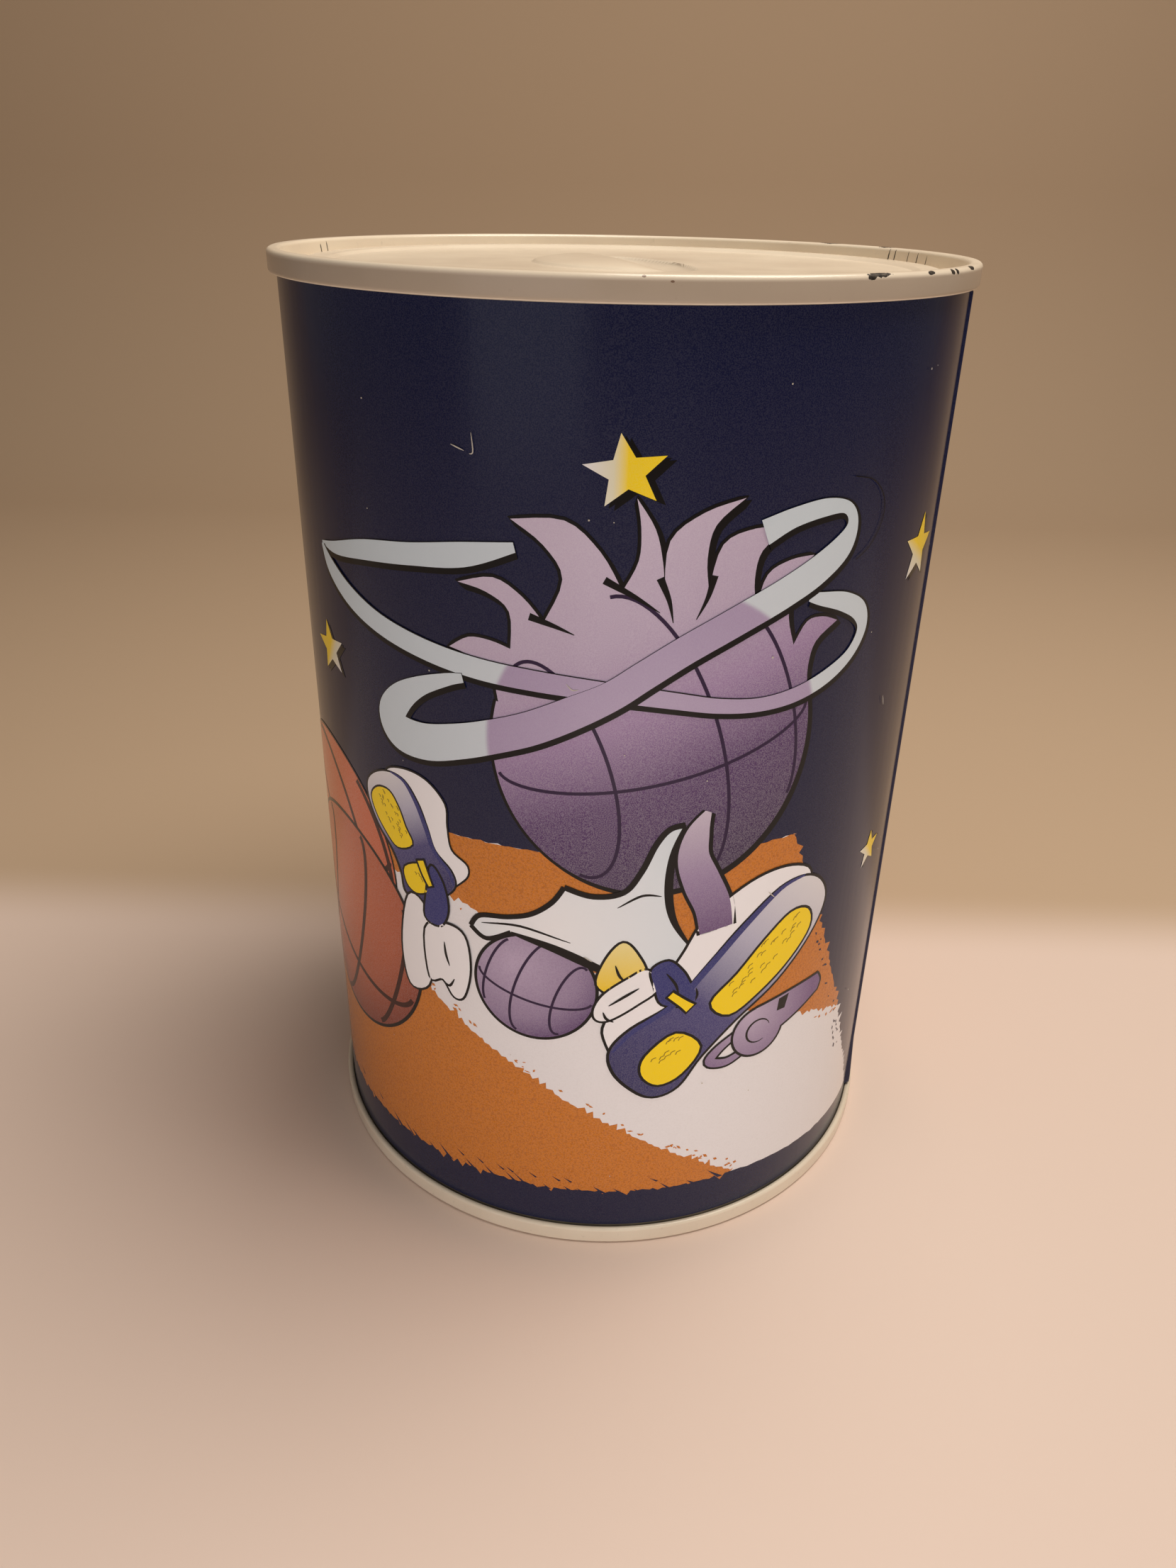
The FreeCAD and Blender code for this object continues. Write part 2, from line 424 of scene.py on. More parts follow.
class Maker:
    """Gathers the corners and faces of one piece, in millimetres, and makes its object."""

    def __init__(self) -> None:
        """Start with nothing."""
        self.corners: list[tuple[float, float, float]] = []
        self.faces: list[tuple[int, ...]] = []
        self.slots: list[int] = []
        self.normals: list[Vector | None] = []

    def add(self, corners: Iterable[Sequence[float]], faces: Sequence[Sequence[int]], slot: int = 0,
            normal: Callable[[Sequence[float]], Vector] | None = None, exact: int = 0) -> None:
        """Add a group of faces.

        Args:
            corners: the group's own corners.
            faces: corner numbers within the group.
            slot: the material slot of the group.
            normal: gives the smooth normal at a corner, where the group needs an exact one.
            exact: how many of the first faces take that normal.
        """
        start = len(self.corners)
        self.corners += [tuple(corner) for corner in corners]
        for number, face in enumerate(faces):
            self.faces.append(tuple(start + corner for corner in face))
            self.slots.append(slot)
            self.normals += [
                normal(self.corners[start + corner]) if number < exact else None for corner in face
            ]

    def build(self, name: str, materials: Sequence[bpy.types.Material], weld: bool = True,
              sharp: float = 40.0) -> bpy.types.Object:
        """Make the object.

        Args:
            name: the object's name.
            materials: one per slot.
            weld: join corners that lie on each other; exact normals are only kept without it.
            sharp: edges that turn by more degrees than this stay sharp.

        Returns:
            The new object, linked to the scene.
        """
        mesh = bpy.data.meshes.new(name)
        mesh.from_pydata([[part * MM for part in corner] for corner in self.corners], [], self.faces)
        for material in materials:
            mesh.materials.append(material)
        mesh.polygons.foreach_set("material_index", self.slots)
        if weld:
            self._weld(mesh)
        mesh.polygons.foreach_set("use_smooth", [True] * len(mesh.polygons))
        mesh.set_sharp_from_angle(angle=math.radians(sharp))
        if not weld and any(normal is not None for normal in self.normals):
            flat = [polygon.normal for polygon in mesh.polygons for _ in polygon.loop_indices]
            mesh.normals_split_custom_set(
                [own if own is not None else plain for own, plain in zip(self.normals, flat)])
        made = bpy.data.objects.new(name, mesh)
        bpy.context.scene.collection.objects.link(made)
        return made

    @staticmethod
    def _weld(mesh: bpy.types.Mesh) -> None:
        """Join doubled corners, drop collapsed faces and turn every face outwards.

        Args:
            mesh: the mesh to mend in place.
        """
        work = bmesh.new()
        work.from_mesh(mesh)
        bmesh.ops.remove_doubles(work, verts=work.verts, dist=WELD * MM)
        bmesh.ops.dissolve_degenerate(work, edges=work.edges, dist=WELD * MM)
        bmesh.ops.recalc_face_normals(work, faces=work.faces)
        work.to_mesh(mesh)
        work.free()


def bent(corners: Sequence[tuple[float, float, float]], arc_steps: int = 6) -> Path:
    """Round the corners of a path, as a folded sheet is rounded.

    Args:
        corners: (radius, height, bend radius) of each corner; a bend of 0 stays as it is.
        arc_steps: how many straight steps stand for each bend.

    Returns:
        The path's points.
    """
    path: Path = []
    for number, (radius, height, bend) in enumerate(corners):
        here = Vector((radius, height))
        if not bend or number in (0, len(corners) - 1):
            path.append((radius, height))
            continue
        back = (Vector(corners[number - 1][:2]) - here).normalized()
        ahead = (Vector(corners[number + 1][:2]) - here).normalized()
        half = back.angle(ahead) / 2
        middle = here + (back + ahead).normalized() * (bend / math.sin(half))
        start = here + back * (bend / math.tan(half)) - middle
        sweep = math.pi - 2 * half
        side = 1 if back.x * ahead.y - back.y * ahead.x < 0 else -1
        for turn in range(arc_steps + 1):
            spoke = start.copy()
            spoke.rotate(Matrix.Rotation(side * sweep * turn / arc_steps, 2))
            path.append(tuple(middle + spoke))
    return path


def both_sides(path: Path, thickness: float) -> tuple[Path, Path]:
    """Give a sheet its two skins.

    Args:
        path: the sheet's mid-line.
        thickness: the sheet's thickness.

    Returns:
        The skin to the left of travel, then the one to the right.
    """
    left, right = [], []
    for number, point in enumerate(path):
        before = Vector(path[max(number - 1, 0)])
        after = Vector(path[min(number + 1, len(path) - 1)])
        travel = (after - before).normalized()
        across = Vector((-travel.y, travel.x)) * thickness / 2
        left.append(tuple(Vector(point) + across))
        right.append(tuple(Vector(point) - across))
    return left, right


def lathe(maker: Maker, outline: Path, bearings: Sequence[float], slot: int = 0,
          shape: Callable[[float, float, float], float] | None = None) -> None:
    """Spin an outline about the can's axis.

    Args:
        maker: takes the faces.
        outline: (radius, height) points.
        bearings: the angles of the spin's steps, in radians, all the way round.
        slot: the material slot.
        shape: gives the radius for a (radius, height, bearing), where the piece isn't round.
    """
    corners = []
    for bearing in bearings:
        for radius, height in outline:
            reach = shape(radius, height, bearing) if shape else radius
            corners.append((reach * math.cos(bearing), reach * math.sin(bearing), height))
    size, turns = len(outline), len(bearings)
    faces = []
    for turn in range(turns):
        here, there = turn * size, (turn + 1) % turns * size
        for number in range(size - 1):
            faces.append((here + number, here + number + 1, there + number + 1, there + number))
    maker.add(corners, faces, slot)


# ---------------------------------------------------------------- drawing on the flat sheet

FACETS = 240
FACET = math.radians(1.5)
FACET_STEP = FACET * TUBE_RADIUS
FILM = 0.01
THINNEST = 0.02


def curve(points: Sequence[Point], steps: int = 6, closed: bool = False) -> Path:
    """Run a smooth line through points.

    Args:
        points: the points it passes through.
        steps: straight steps from one point to the next.
        closed: whether it comes back to the first point.

    Returns:
        The line's points; a closed line doesn't repeat its first.
    """
    size = len(points)
    spans = size if closed else size - 1
    line: Path = []
    for span in range(spans):
        near = [
            Vector(points[(span + shift) % size if closed else min(max(span + shift, 0), size - 1)])
            for shift in (-1, 0, 1, 2)
        ]
        for step in range(steps):
            t = step / steps
            spot = 0.5 * (2 * near[1] + (near[2] - near[0]) * t
                          + (2 * near[0] - 5 * near[1] + 4 * near[2] - near[3]) * t ** 2
                          + (3 * near[1] - near[0] - 3 * near[2] + near[3]) * t ** 3)
            line.append(tuple(spot))
    if not closed:
        line.append(tuple(points[-1]))
    return line


def arc(centre: Point, radius: float, start: float, end: float, steps: int = 24,
        squash: float = 1.0) -> Path:
    """Run along an arc.

    Args:
        centre, radius: where it is and how large.
        start, end: its bearings in degrees.
        steps: straight steps along it.
        squash: how much its height is flattened.

    Returns:
        The arc's points, both ends with it.
    """
    sweep = [math.radians(start + (end - start) * step / steps) for step in range(steps + 1)]
    return [(centre[0] + radius * math.cos(turn), centre[1] + radius * squash * math.sin(turn))
            for turn in sweep]


def joined(*runs: Path) -> Path:
    """Chain runs into one outline.

    Args:
        runs: paths that each start where the last one ends.

    Returns:
        The outline, with a corner where two runs meet.
    """
    outline: Path = []
    for run in runs:
        outline += run if not outline or math.dist(outline[-1], run[0]) > 1e-3 else run[1:]
    if math.dist(outline[0], outline[-1]) < 1e-3:
        outline.pop()
    return outline


def moved(path: Path, across: float, up: float) -> Path:
    """Shift a path."""
    return [(point[0] + across, point[1] + up) for point in path]


def placed(path: Path, origin: Point, turn: float, scale: float = 1.0) -> Path:
    """Scale a path, turn it by degrees about its own zero and move that zero to the origin."""
    spin = Matrix.Rotation(math.radians(turn), 2)
    return [tuple(spin @ (Vector(point) * scale) + Vector(origin)) for point in path]


def star(centre: Point, reach: float, turn: float) -> Path:
    """Draw a five-pointed star.

    Args:
        centre: its middle.
        reach: from its middle to a tip.
        turn: how far it is turned, in degrees.

    Returns:
        Its outline.
    """
    waist, squash = 0.43, 0.86
    return [
        (centre[0] + size * math.cos(angle), centre[1] + squash * size * math.sin(angle))
        for size, angle in (
            (reach * (waist if tip % 2 else 1.0), math.radians(90 + turn + 36 * tip)) for tip in range(10)
        )
    ]


def band(points: Sequence[tuple[float, float, float]], steps: int = 6) -> list[Path]:
    """A flat ribbon along a smooth line.

    Args:
        points: (across, height, width) along its middle.
        steps: straight steps from one point to the next.

    Returns:
        Its patches, which share edges.
    """
    middle = curve([point[:2] for point in points], steps)
    widths = [point[0] for point in curve([(point[2], 0.0) for point in points], steps)]
    edges = []
    for number, point in enumerate(middle):
        before = Vector(middle[max(number - 1, 0)])
        after = Vector(middle[min(number + 1, len(middle) - 1)])
        travel = (after - before).normalized()
        side = Vector((-travel.y, travel.x)) * max(widths[number], THINNEST) / 2
        edges.append((tuple(Vector(point) + side), tuple(Vector(point) - side)))
    return [[near[0], far[0], far[1], near[1]] for near, far in zip(edges, edges[1:])]


def pen(path: Path, width: float, closed: bool = False, taper: bool = False) -> list[Path]:
    """Draw a pen line along a path.

    Args:
        path: the line's middle.
        width: its width.
        closed: whether it comes back to the path's first point.
        taper: whether it thins out towards both ends.

    Returns:
        The line's patches.
    """
    line = path + path[:2] if closed else path
    size = len(line) - 1
    points = [
        (*point, width * (0.25 + 0.75 * math.sin(math.pi * number / size)) if taper else width)
        for number, point in enumerate(line)
    ]
    return band(points, 1)


def pens(paths: Iterable[Path], width: float, closed: bool = False, taper: bool = False) -> list[Path]:
    """Draw the same pen line along each of several paths."""
    return [part for path in paths for part in pen(path, width, closed, taper)]


def widened(points: Sequence[tuple[float, float, float]],
            extra: float) -> list[tuple[float, float, float]]:
    """Widen a ribbon's (across, height, width) points."""
    return [(across, height, width + extra) for across, height, width in points]


def ragged(start: Point, end: Point, depth: float, pitch: float, seed: int) -> Path:
    """Draw a dry-brush edge.

    Args:
        start, end: the edge's ends.
        depth: how far the bristle marks reach to its left.
        pitch: the marks' spacing.
        seed: sets their unevenness.

    Returns:
        The edge's points.
    """
    dice = random.Random(seed)
    travel = Vector(end) - Vector(start)
    count = max(2, round(travel.length / pitch))
    side = Vector((-travel.y, travel.x)).normalized()
    lean = travel.normalized()
    path: Path = []
    for number in range(count + 1):
        reach = depth * dice.random() ** 2 if number % 2 else -0.25 * depth * dice.random()
        slide = pitch * (dice.random() - 0.5) * 0.8
        path.append(tuple(Vector(start) + travel * number / count + side * reach + lean * slide))
    return path


def flecks(start: Point, end: Point, depth: float, count: int, seed: int) -> list[Path]:
    """Scatter loose bristle marks to the left of a line.

    Args:
        start, end: the line's ends.
        depth: how far from it they lie.
        count: how many there are.
        seed: sets where they fall.

    Returns:
        Their outlines.
    """
    dice = random.Random(seed)
    travel = Vector(end) - Vector(start)
    side = Vector((-travel.y, travel.x)).normalized()
    lean = travel.normalized()
    marks = []
    for _ in range(count):
        spot = Vector(start) + travel * dice.random() + side * depth * (0.4 + dice.random())
        long, thin = 0.3 + 0.9 * dice.random(), 0.12 + 0.22 * dice.random()
        slant = lean * long + side * long * (dice.random() - 0.3)
        marks.append([tuple(spot - slant / 2), tuple(spot + side * thin), tuple(spot + slant / 2),
                      tuple(spot - side * thin)])
    return marks


def covered(spots: np.ndarray, ring: Path) -> np.ndarray:
    """Tell which spots an outline winds round, however it crosses itself.

    Args:
        spots: points as the rows of an array.
        ring: the outline.

    Returns:
        One truth value for each spot.
    """
    corners = np.array(ring)
    inside = np.zeros(len(spots), dtype=bool)
    near = np.flatnonzero(((spots >= corners.min(axis=0)) & (spots <= corners.max(axis=0))).all(axis=1))
    across, up = spots[near, 0], spots[near, 1]
    turns = np.zeros(len(near), dtype=int)
    for (x0, y0), (x1, y1) in zip(ring, ring[1:] + ring[:1]):
        side = (x1 - x0) * (up - y0) - (across - x0) * (y1 - y0)
        turns += ((y0 <= up) & (up < y1) & (side > 0)).astype(int)
        turns -= ((y1 <= up) & (up < y0) & (side < 0)).astype(int)
    inside[near] = turns != 0
    return inside


def on_tube(across: float, height: float, lift: float) -> tuple[float, float, float]:
    """Wrap a point of the flat sheet round the tube.

    Args:
        across, height: the point on the sheet.
        lift: how far it stands off the tube's skin.

    Returns:
        The point in the can's frame.
    """
    turn = across / TUBE_RADIUS
    reach = TUBE_RADIUS + lift
    return reach * math.sin(turn), -reach * math.cos(turn), height


def outward(corner: Sequence[float]) -> Vector:
    """The tube's own normal at a corner."""
    return Vector((corner[0], corner[1], 0.0)).normalized()


def fill(outlines: Sequence[Path]) -> tuple[Path, list[tuple[int, int, int]]]:
    """Cut overlapping outlines into triangles that also break along the tube's facets.

    Args:
        outlines: shapes to join together.

    Returns:
        The corners, and the triangles as corner numbers.
    """
    points: Path = []
    cuts = []
    for ring in outlines:
        start, size = len(points), len(ring)
        cuts += [(start + number, start + (number + 1) % size) for number in range(size)]
        points += ring
    low, high = min(point[0] for point in points), max(point[0] for point in points)
    floor, top = min(point[1] for point in points) - 1, max(point[1] for point in points) + 1
    for facet in range(math.ceil(low / FACET_STEP), math.floor(high / FACET_STEP) + 1):
        cuts.append((len(points), len(points) + 1))
        points += [(facet * FACET_STEP, floor), (facet * FACET_STEP, top)]
    spots, _, faces, _, _, _ = delaunay_2d_cdt(
        [Vector(point) for point in points], cuts, [], 0, 1e-5, False)
    flat = np.array([tuple(spot) for spot in spots])
    middles = flat[np.array(faces)].mean(axis=1)
    kept = np.zeros(len(faces), dtype=bool)
    for ring in outlines:
        kept |= covered(middles, ring)
    return [tuple(spot) for spot in spots], [tuple(face) for face, keep in zip(faces, kept) if keep]


class Film:
    """One printed film: thin closed plates of ink wrapped on the tube, in one or more inks."""

    def __init__(self, name: str, level: int) -> None:
        """Start a film.

        Args:
            name: the piece's name.
            level: how many films lie under it.
        """
        self.name = name
        self.level = level
        self.inks: list[Ink] = []
        self.maker = Maker()

    def print(self, finish: Ink, outlines: Sequence[Path], rise: int = 0) -> None:
        """Print outlines, joined, in one ink.

        Args:
            finish: the ink.
            outlines: the shapes on the flat sheet.
            rise: how many plates of this film lie under these.
        """
        if finish not in self.inks:
            self.inks.append(finish)
        slot = self.inks.index(finish)
        spots, faces = fill(outlines)
        top = (self.level + rise + 1) * FILM
        under = top - FILM * 0.9
        size = len(spots)
        corners = [on_tube(*spot, top) for spot in spots] + [on_tube(*spot, under) for spot in spots]
        edges = {(face[side], face[(side + 1) % 3]) for face in faces for side in range(3)}
        rim = sorted(edge for edge in edges if (edge[1], edge[0]) not in edges)
        undersides = [tuple(size + corner for corner in face[::-1]) for face in faces]
        walls = [(size + first, size + second, second, first) for first, second in rim]
        self.maker.add(corners, faces + undersides + walls, slot, outward, len(faces))

    def build(self) -> bpy.types.Object:
        """Make the film's object, riding on the root body.

        Returns:
            The piece\'s object.
        """
        made = self.maker.build(self.name, [finish.material() for finish in self.inks], weld=False)
        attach(made, ROOT)
        LOG.info("film %s: %d faces", self.name, len(made.data.polygons))
        return made


# ---------------------------------------------------------------- the printed picture

FOOT_OF_PRINT = 10.8

OUTLINE = Ink("ink_black_line", ((0.0, BLACK),), screen=0.0)
NAVY_GROUND = Ink("ink_navy_ground", ((0.0, NAVY),), screen=0.02)
NAVY_INK = Ink("ink_navy", ((0.0, NAVY),), screen=0.02)
COURT_ORANGE = Ink("ink_court_orange", ((0.0, ORANGE),), grain=0.42, grain_colour=ink(150, 74, 16))
COURT_WHITE = Ink("ink_court_white", ((0.0, WHITE),), grain=0.05, grain_colour=ink(170, 160, 160))
YELLOW_INK = Ink("ink_yellow", ((0.0, YELLOW),), screen=0.03)
WHITE_INK = Ink("ink_white", ((0.0, ink(248, 246, 250)),), screen=0.0)
SEAM_BROWN = Ink("ink_seam_brown", ((0.0, ink(62, 26, 22)),), screen=0.0)
SEAM_VIOLET = Ink("ink_seam_violet", ((0.0, ink(44, 26, 62)),), screen=0.0)
VIOLET_INK = Ink("ink_violet", ((0.0, VIOLET),), screen=0.05)
TREAD_INK = Ink("ink_tread", ((0.0, ink(150, 122, 30)),), screen=0.0)


def sphere_seams(centre: Point, radius: float, tilt: float, spin: float, roll: float) -> list[Path]:
    """The four seams of a ball as seen from the front.

    Args:
        centre: the ball's middle on the sheet.
        radius: its radius.
        tilt, spin, roll: degrees of turn about the sheet's across, up and facing directions.

    Returns:
        The visible stretches of the seams.
    """
    turn = (Matrix.Rotation(math.radians(roll), 3, "Y") @ Matrix.Rotation(math.radians(tilt), 3, "X")
            @ Matrix.Rotation(math.radians(spin), 3, "Z"))
    side = 0.66
    side_reach = math.sqrt(1 - side ** 2)
    rings: tuple[Callable[[float], tuple[float, float, float]], ...] = (
        lambda t: (0.0, math.cos(t), math.sin(t)),
        lambda t: (math.cos(t), math.sin(t), 0.0),
        lambda t: (side, side_reach * math.cos(t), side_reach * math.sin(t)),
        lambda t: (-side, side_reach * math.cos(t), side_reach * math.sin(t)),
    )
    count = 72
    seams = []
    for ring in rings:
        spots = [turn @ Vector(ring(2 * math.pi * step / count)) for step in range(count)]
        hidden = next((number for number, spot in enumerate(spots) if spot.y > 0), 0)
        run: Path = []
        for number in range(count + 1):
            spot = spots[(hidden + number) % count]
            if spot.y <= 0 and number < count:
                run.append((centre[0] + radius * spot.x, centre[1] + radius * spot.z))
                continue
            if len(run) > 2:
                seams.append(run)
            run = []
    return seams


@dataclass
class Court:
    """The brushed orange and white floor of the picture."""

    middle: float = 0.0
    left: float = -84.0
    top: float = 75.3
    seed: int = 3

    def draw(self) -> bpy.types.Object:
        """Print the white ground, the two orange fields and their dry-brush edges.

        Returns:
            The film\'s object.
        """
        film = Film(f"print_court_{'front' if not self.middle else 'back'}", 0)
        corner, elbow, heel = (28.8, self.top - 0.5), (46.9, 34.8), (60.0, 7.5)
        foot = (24.0, FOOT_OF_PRINT)
        low_left, high_left = (self.left, FOOT_OF_PRINT), (self.left, self.top)
        ground = joined(
            [high_left, (self.left + 3, self.top)],
            ragged((self.left + 3, self.top), corner, 0.25, 1.2, self.seed),
            ragged(corner, elbow, 1.0, 1.0, self.seed + 1),
            ragged(elbow, (50.6, 25.5), 1.6, 0.9, self.seed + 2),
            ragged((50.6, 25.5), heel, 1.2, 0.9, self.seed + 3),
            ragged(heel, foot, 0.3, 1.6, self.seed + 4),
            ragged(foot, low_left, 1.1, 0.9, self.seed + 5),
            ragged(low_left, high_left, 2.4, 1.1, self.seed + 6),
        )
        self._print(film, COURT_WHITE, [ground])
        seam_left, seam_right = (self.left, 66.5), (-22.0, 64.2)
        upper = joined(
            ragged((self.left, self.top), corner, 0.25, 1.2, self.seed),
            ragged(corner, elbow, 1.0, 1.0, self.seed + 1),
            ragged(elbow, seam_right, 0.9, 0.8, self.seed + 7),
            ragged(seam_right, seam_left, 0.9, 0.8, self.seed + 8),
            ragged(seam_left, (self.left, self.top), 2.4, 1.1, self.seed + 9),
        )
        bend = (-33.0, 48.5)
        lower = joined(
            ragged((self.left, 52.0), bend, 0.9, 0.8, self.seed + 10),
            ragged(bend, foot, 1.0, 0.75, self.seed + 11),
            ragged(foot, low_left, 1.1, 0.9, self.seed + 5),
            ragged(low_left, (self.left, 52.0), 2.4, 1.1, self.seed + 12),
        )
        self._print(film, COURT_ORANGE, [upper], 1)
        self._print(film, COURT_ORANGE, [lower], 1)
        self._print(film, COURT_ORANGE, flecks(foot, bend, -1.3, 46, self.seed + 13), 2)
        self._print(film, COURT_ORANGE, flecks(elbow, seam_right, 1.1, 34, self.seed + 14), 2)
        edge_marks = (flecks(corner, elbow, -1.6, 22, self.seed + 15)
                      + flecks(elbow, (50.6, 25.5), -2.2, 14, self.seed + 16)
                      + self._ticks(foot, low_left))
        self._print(film, NAVY_INK, edge_marks, 3)
        return film.build()

    def _ticks(self, start: Point, end: Point) -> list[Path]:
        """Draw leaning bristle marks that reach up from the floor's lower edge.

        Args:
            start, end: the edge's right and left ends.

        Returns:
            Their outlines.
        """
        dice = random.Random(self.seed + 17)
        marks = []
        spot = start[0] - 2.0
        while spot > end[0] + 2:
            tall, wide = 0.7 + 1.8 * dice.random(), 0.5 + 0.7 * dice.random()
            base = FOOT_OF_PRINT - 0.4
            marks.append([(spot, base), (spot - wide, base), (spot - wide - tall * 0.9, base + tall)])
            if dice.random() < 0.5:
                loose = moved([(-2.4, 2.2), (-2.7, 2.0), (-3.9, 3.0)], spot, base)
                marks.append(loose)
            spot -= 1.6 + 3.4 * dice.random()
        return marks

    def _print(self, film: Film, finish: Ink, outlines: Sequence[Path], rise: int = 0) -> None:
        """Print outlines at this court's place around the tube.

        Args:
            film: the court's film.
            finish: the ink.
            outlines: shapes as they lie on the front court.
            rise: how many plates of the film lie under them.
        """
        film.print(finish, [moved(outline, self.middle, 0.0) for outline in outlines], rise)


@dataclass
class FlamingBall:
    """A purple ball with a crown of flame, shaded from lavender down to deep purple."""

    centre: Point = (6.5, 91.5)
    radius: float = 22.3
    tongues: tuple[tuple[Point, Point, float], ...] = (
        ((-14.8, 97.0), (-21.8, 103.6), -0.22),
        ((-13.0, 104.6), (-20.2, 112.6), -0.3),
        ((-8.6, 108.6), (-12.8, 121.4), -0.3),
        ((1.2, 113.2), (2.6, 124.6), -0.12),
        ((6.4, 113.0), (16.0, 124.4), 0.26),
        ((12.0, 113.2), (22.4, 120.4), 0.3),
        ((18.6, 110.4), (26.6, 116.4), 0.26),
        ((24.8, 104.6), (32.0, 106.8), 0.3),
    )
    last_root: Point = (28.0, 97.6)

    def outline(self) -> Path:
        """Join the ball's lower round and the flame tongues over it.

        Returns:
            The outline.
        """
        roots = [tongue[0] for tongue in self.tongues] + [self.last_root]
        runs = []
        for number, (root, tip, sweep) in enumerate(self.tongues):
            runs += [self._flank(root, tip, sweep), self._flank(tip, roots[number + 1], -0.75 * sweep)]
        start, end = (math.degrees(math.atan2(point[1] - self.centre[1], point[0] - self.centre[0]))
                      for point in (self.last_root, roots[0]))
        runs.append(arc(self.centre, self.radius, start, end - 360, 60))
        return joined(*runs)

    @staticmethod
    def _flank(start: Point, end: Point, sweep: float) -> Path:
        """Draw one side of a tongue.

        Args:
            start, end: the side's ends.
            sweep: how far it bows to the left of its travel, as a share of its length.

        Returns:
            The side's points.
        """
        travel = Vector(end) - Vector(start)
        side = Vector((-travel.y, travel.x)) * sweep
        bow = [Vector(start) + travel * share + side * lift for share, lift in ((0.35, 1.0), (0.7, 0.75))]
        return curve([start, tuple(bow[0]), tuple(bow[1]), end], 4)

    def draw(self) -> bpy.types.Object:
        """Print the black edge, the shaded ball, its seams and a few flame strokes.

        Returns:
            The film\'s object.
        """
        film = Film("print_flaming_ball", 5)
        shape = self.outline()
        fade = Ink("ink_ball_purple",
                   ((0.0, ink(54, 28, 74)), (0.3, ink(86, 54, 106)), (0.52, ink(160, 132, 174)),
                    (0.74, ink(190, 172, 200)), (1.0, ink(204, 188, 212))),
                   across=9.0, height=70.0, reach=50.0, heading=112.0, screen=0.16)
        film.print(OUTLINE, pen(shape, 0.9, closed=True) + pen(moved(shape, 0.5, -0.5), 0.7, closed=True))
        film.print(fade, [shape], 1)
        seams = sphere_seams(self.centre, self.radius * 0.985, 14, 24, -12)
        lines = pens(seams, 0.5)
        strokes = [
            (Vector(tongue[0]).lerp(before[1], 0.16), Vector(tongue[0]).lerp(before[1], -0.34))
            for before, tongue in zip(self.tongues[1:-2], self.tongues[2:-1])
        ]
        film.print(SEAM_VIOLET, lines, 2)
        flicks = []
        for near, far in strokes:
            middle = near.lerp(far, 0.5) + Vector((0.3, 0.0))
            flicks += band([(*near, 1.0), (*middle, 0.6), (*far, 0.1)])
        film.print(OUTLINE, flicks, 3)
        return film.build()


@dataclass
class Ball:
    """A plain ball with four seams."""

    name: str
    centre: Point
    radius: float
    level: int
    light: Colour
    dark: Colour
    seam: Ink
    attitude: tuple[float, float, float] = (20.0, 30.0, 10.0)
    edge: float = 0.35
    grain: float = 0.12

    def draw(self) -> bpy.types.Object:
        """Print the ball's edge, its round shading and its seams.

        Returns:
            The film\'s object.
        """
        film = Film(f"print_{self.name}", self.level)
        shine = (self.centre[0] - 0.35 * self.radius, self.centre[1] + 0.45 * self.radius)
        middle = tuple((one + two) / 2 for one, two in zip(self.light, self.dark))
        shade = Ink(f"ink_{self.name}", ((0.0, self.light), (0.55, middle), (0.8, self.dark)),
                    across=shine[0], height=shine[1], reach=self.radius * 2.0, spread=Spread.ROUND,
                    grain=self.grain, grain_colour=self.dark, screen=0.1)
        disc = arc(self.centre, self.radius, 0, 360, 90)[:-1]
        if self.edge:
            rim = arc(self.centre, self.radius + self.edge, 0, 360, 90)[:-1]
            film.print(OUTLINE, [rim])
        film.print(shade, [disc], 1)
        seams = sphere_seams(self.centre, self.radius * 0.97, *self.attitude)
        film.print(self.seam, pens(seams, 0.045 * self.radius), 2)
        return film.build()


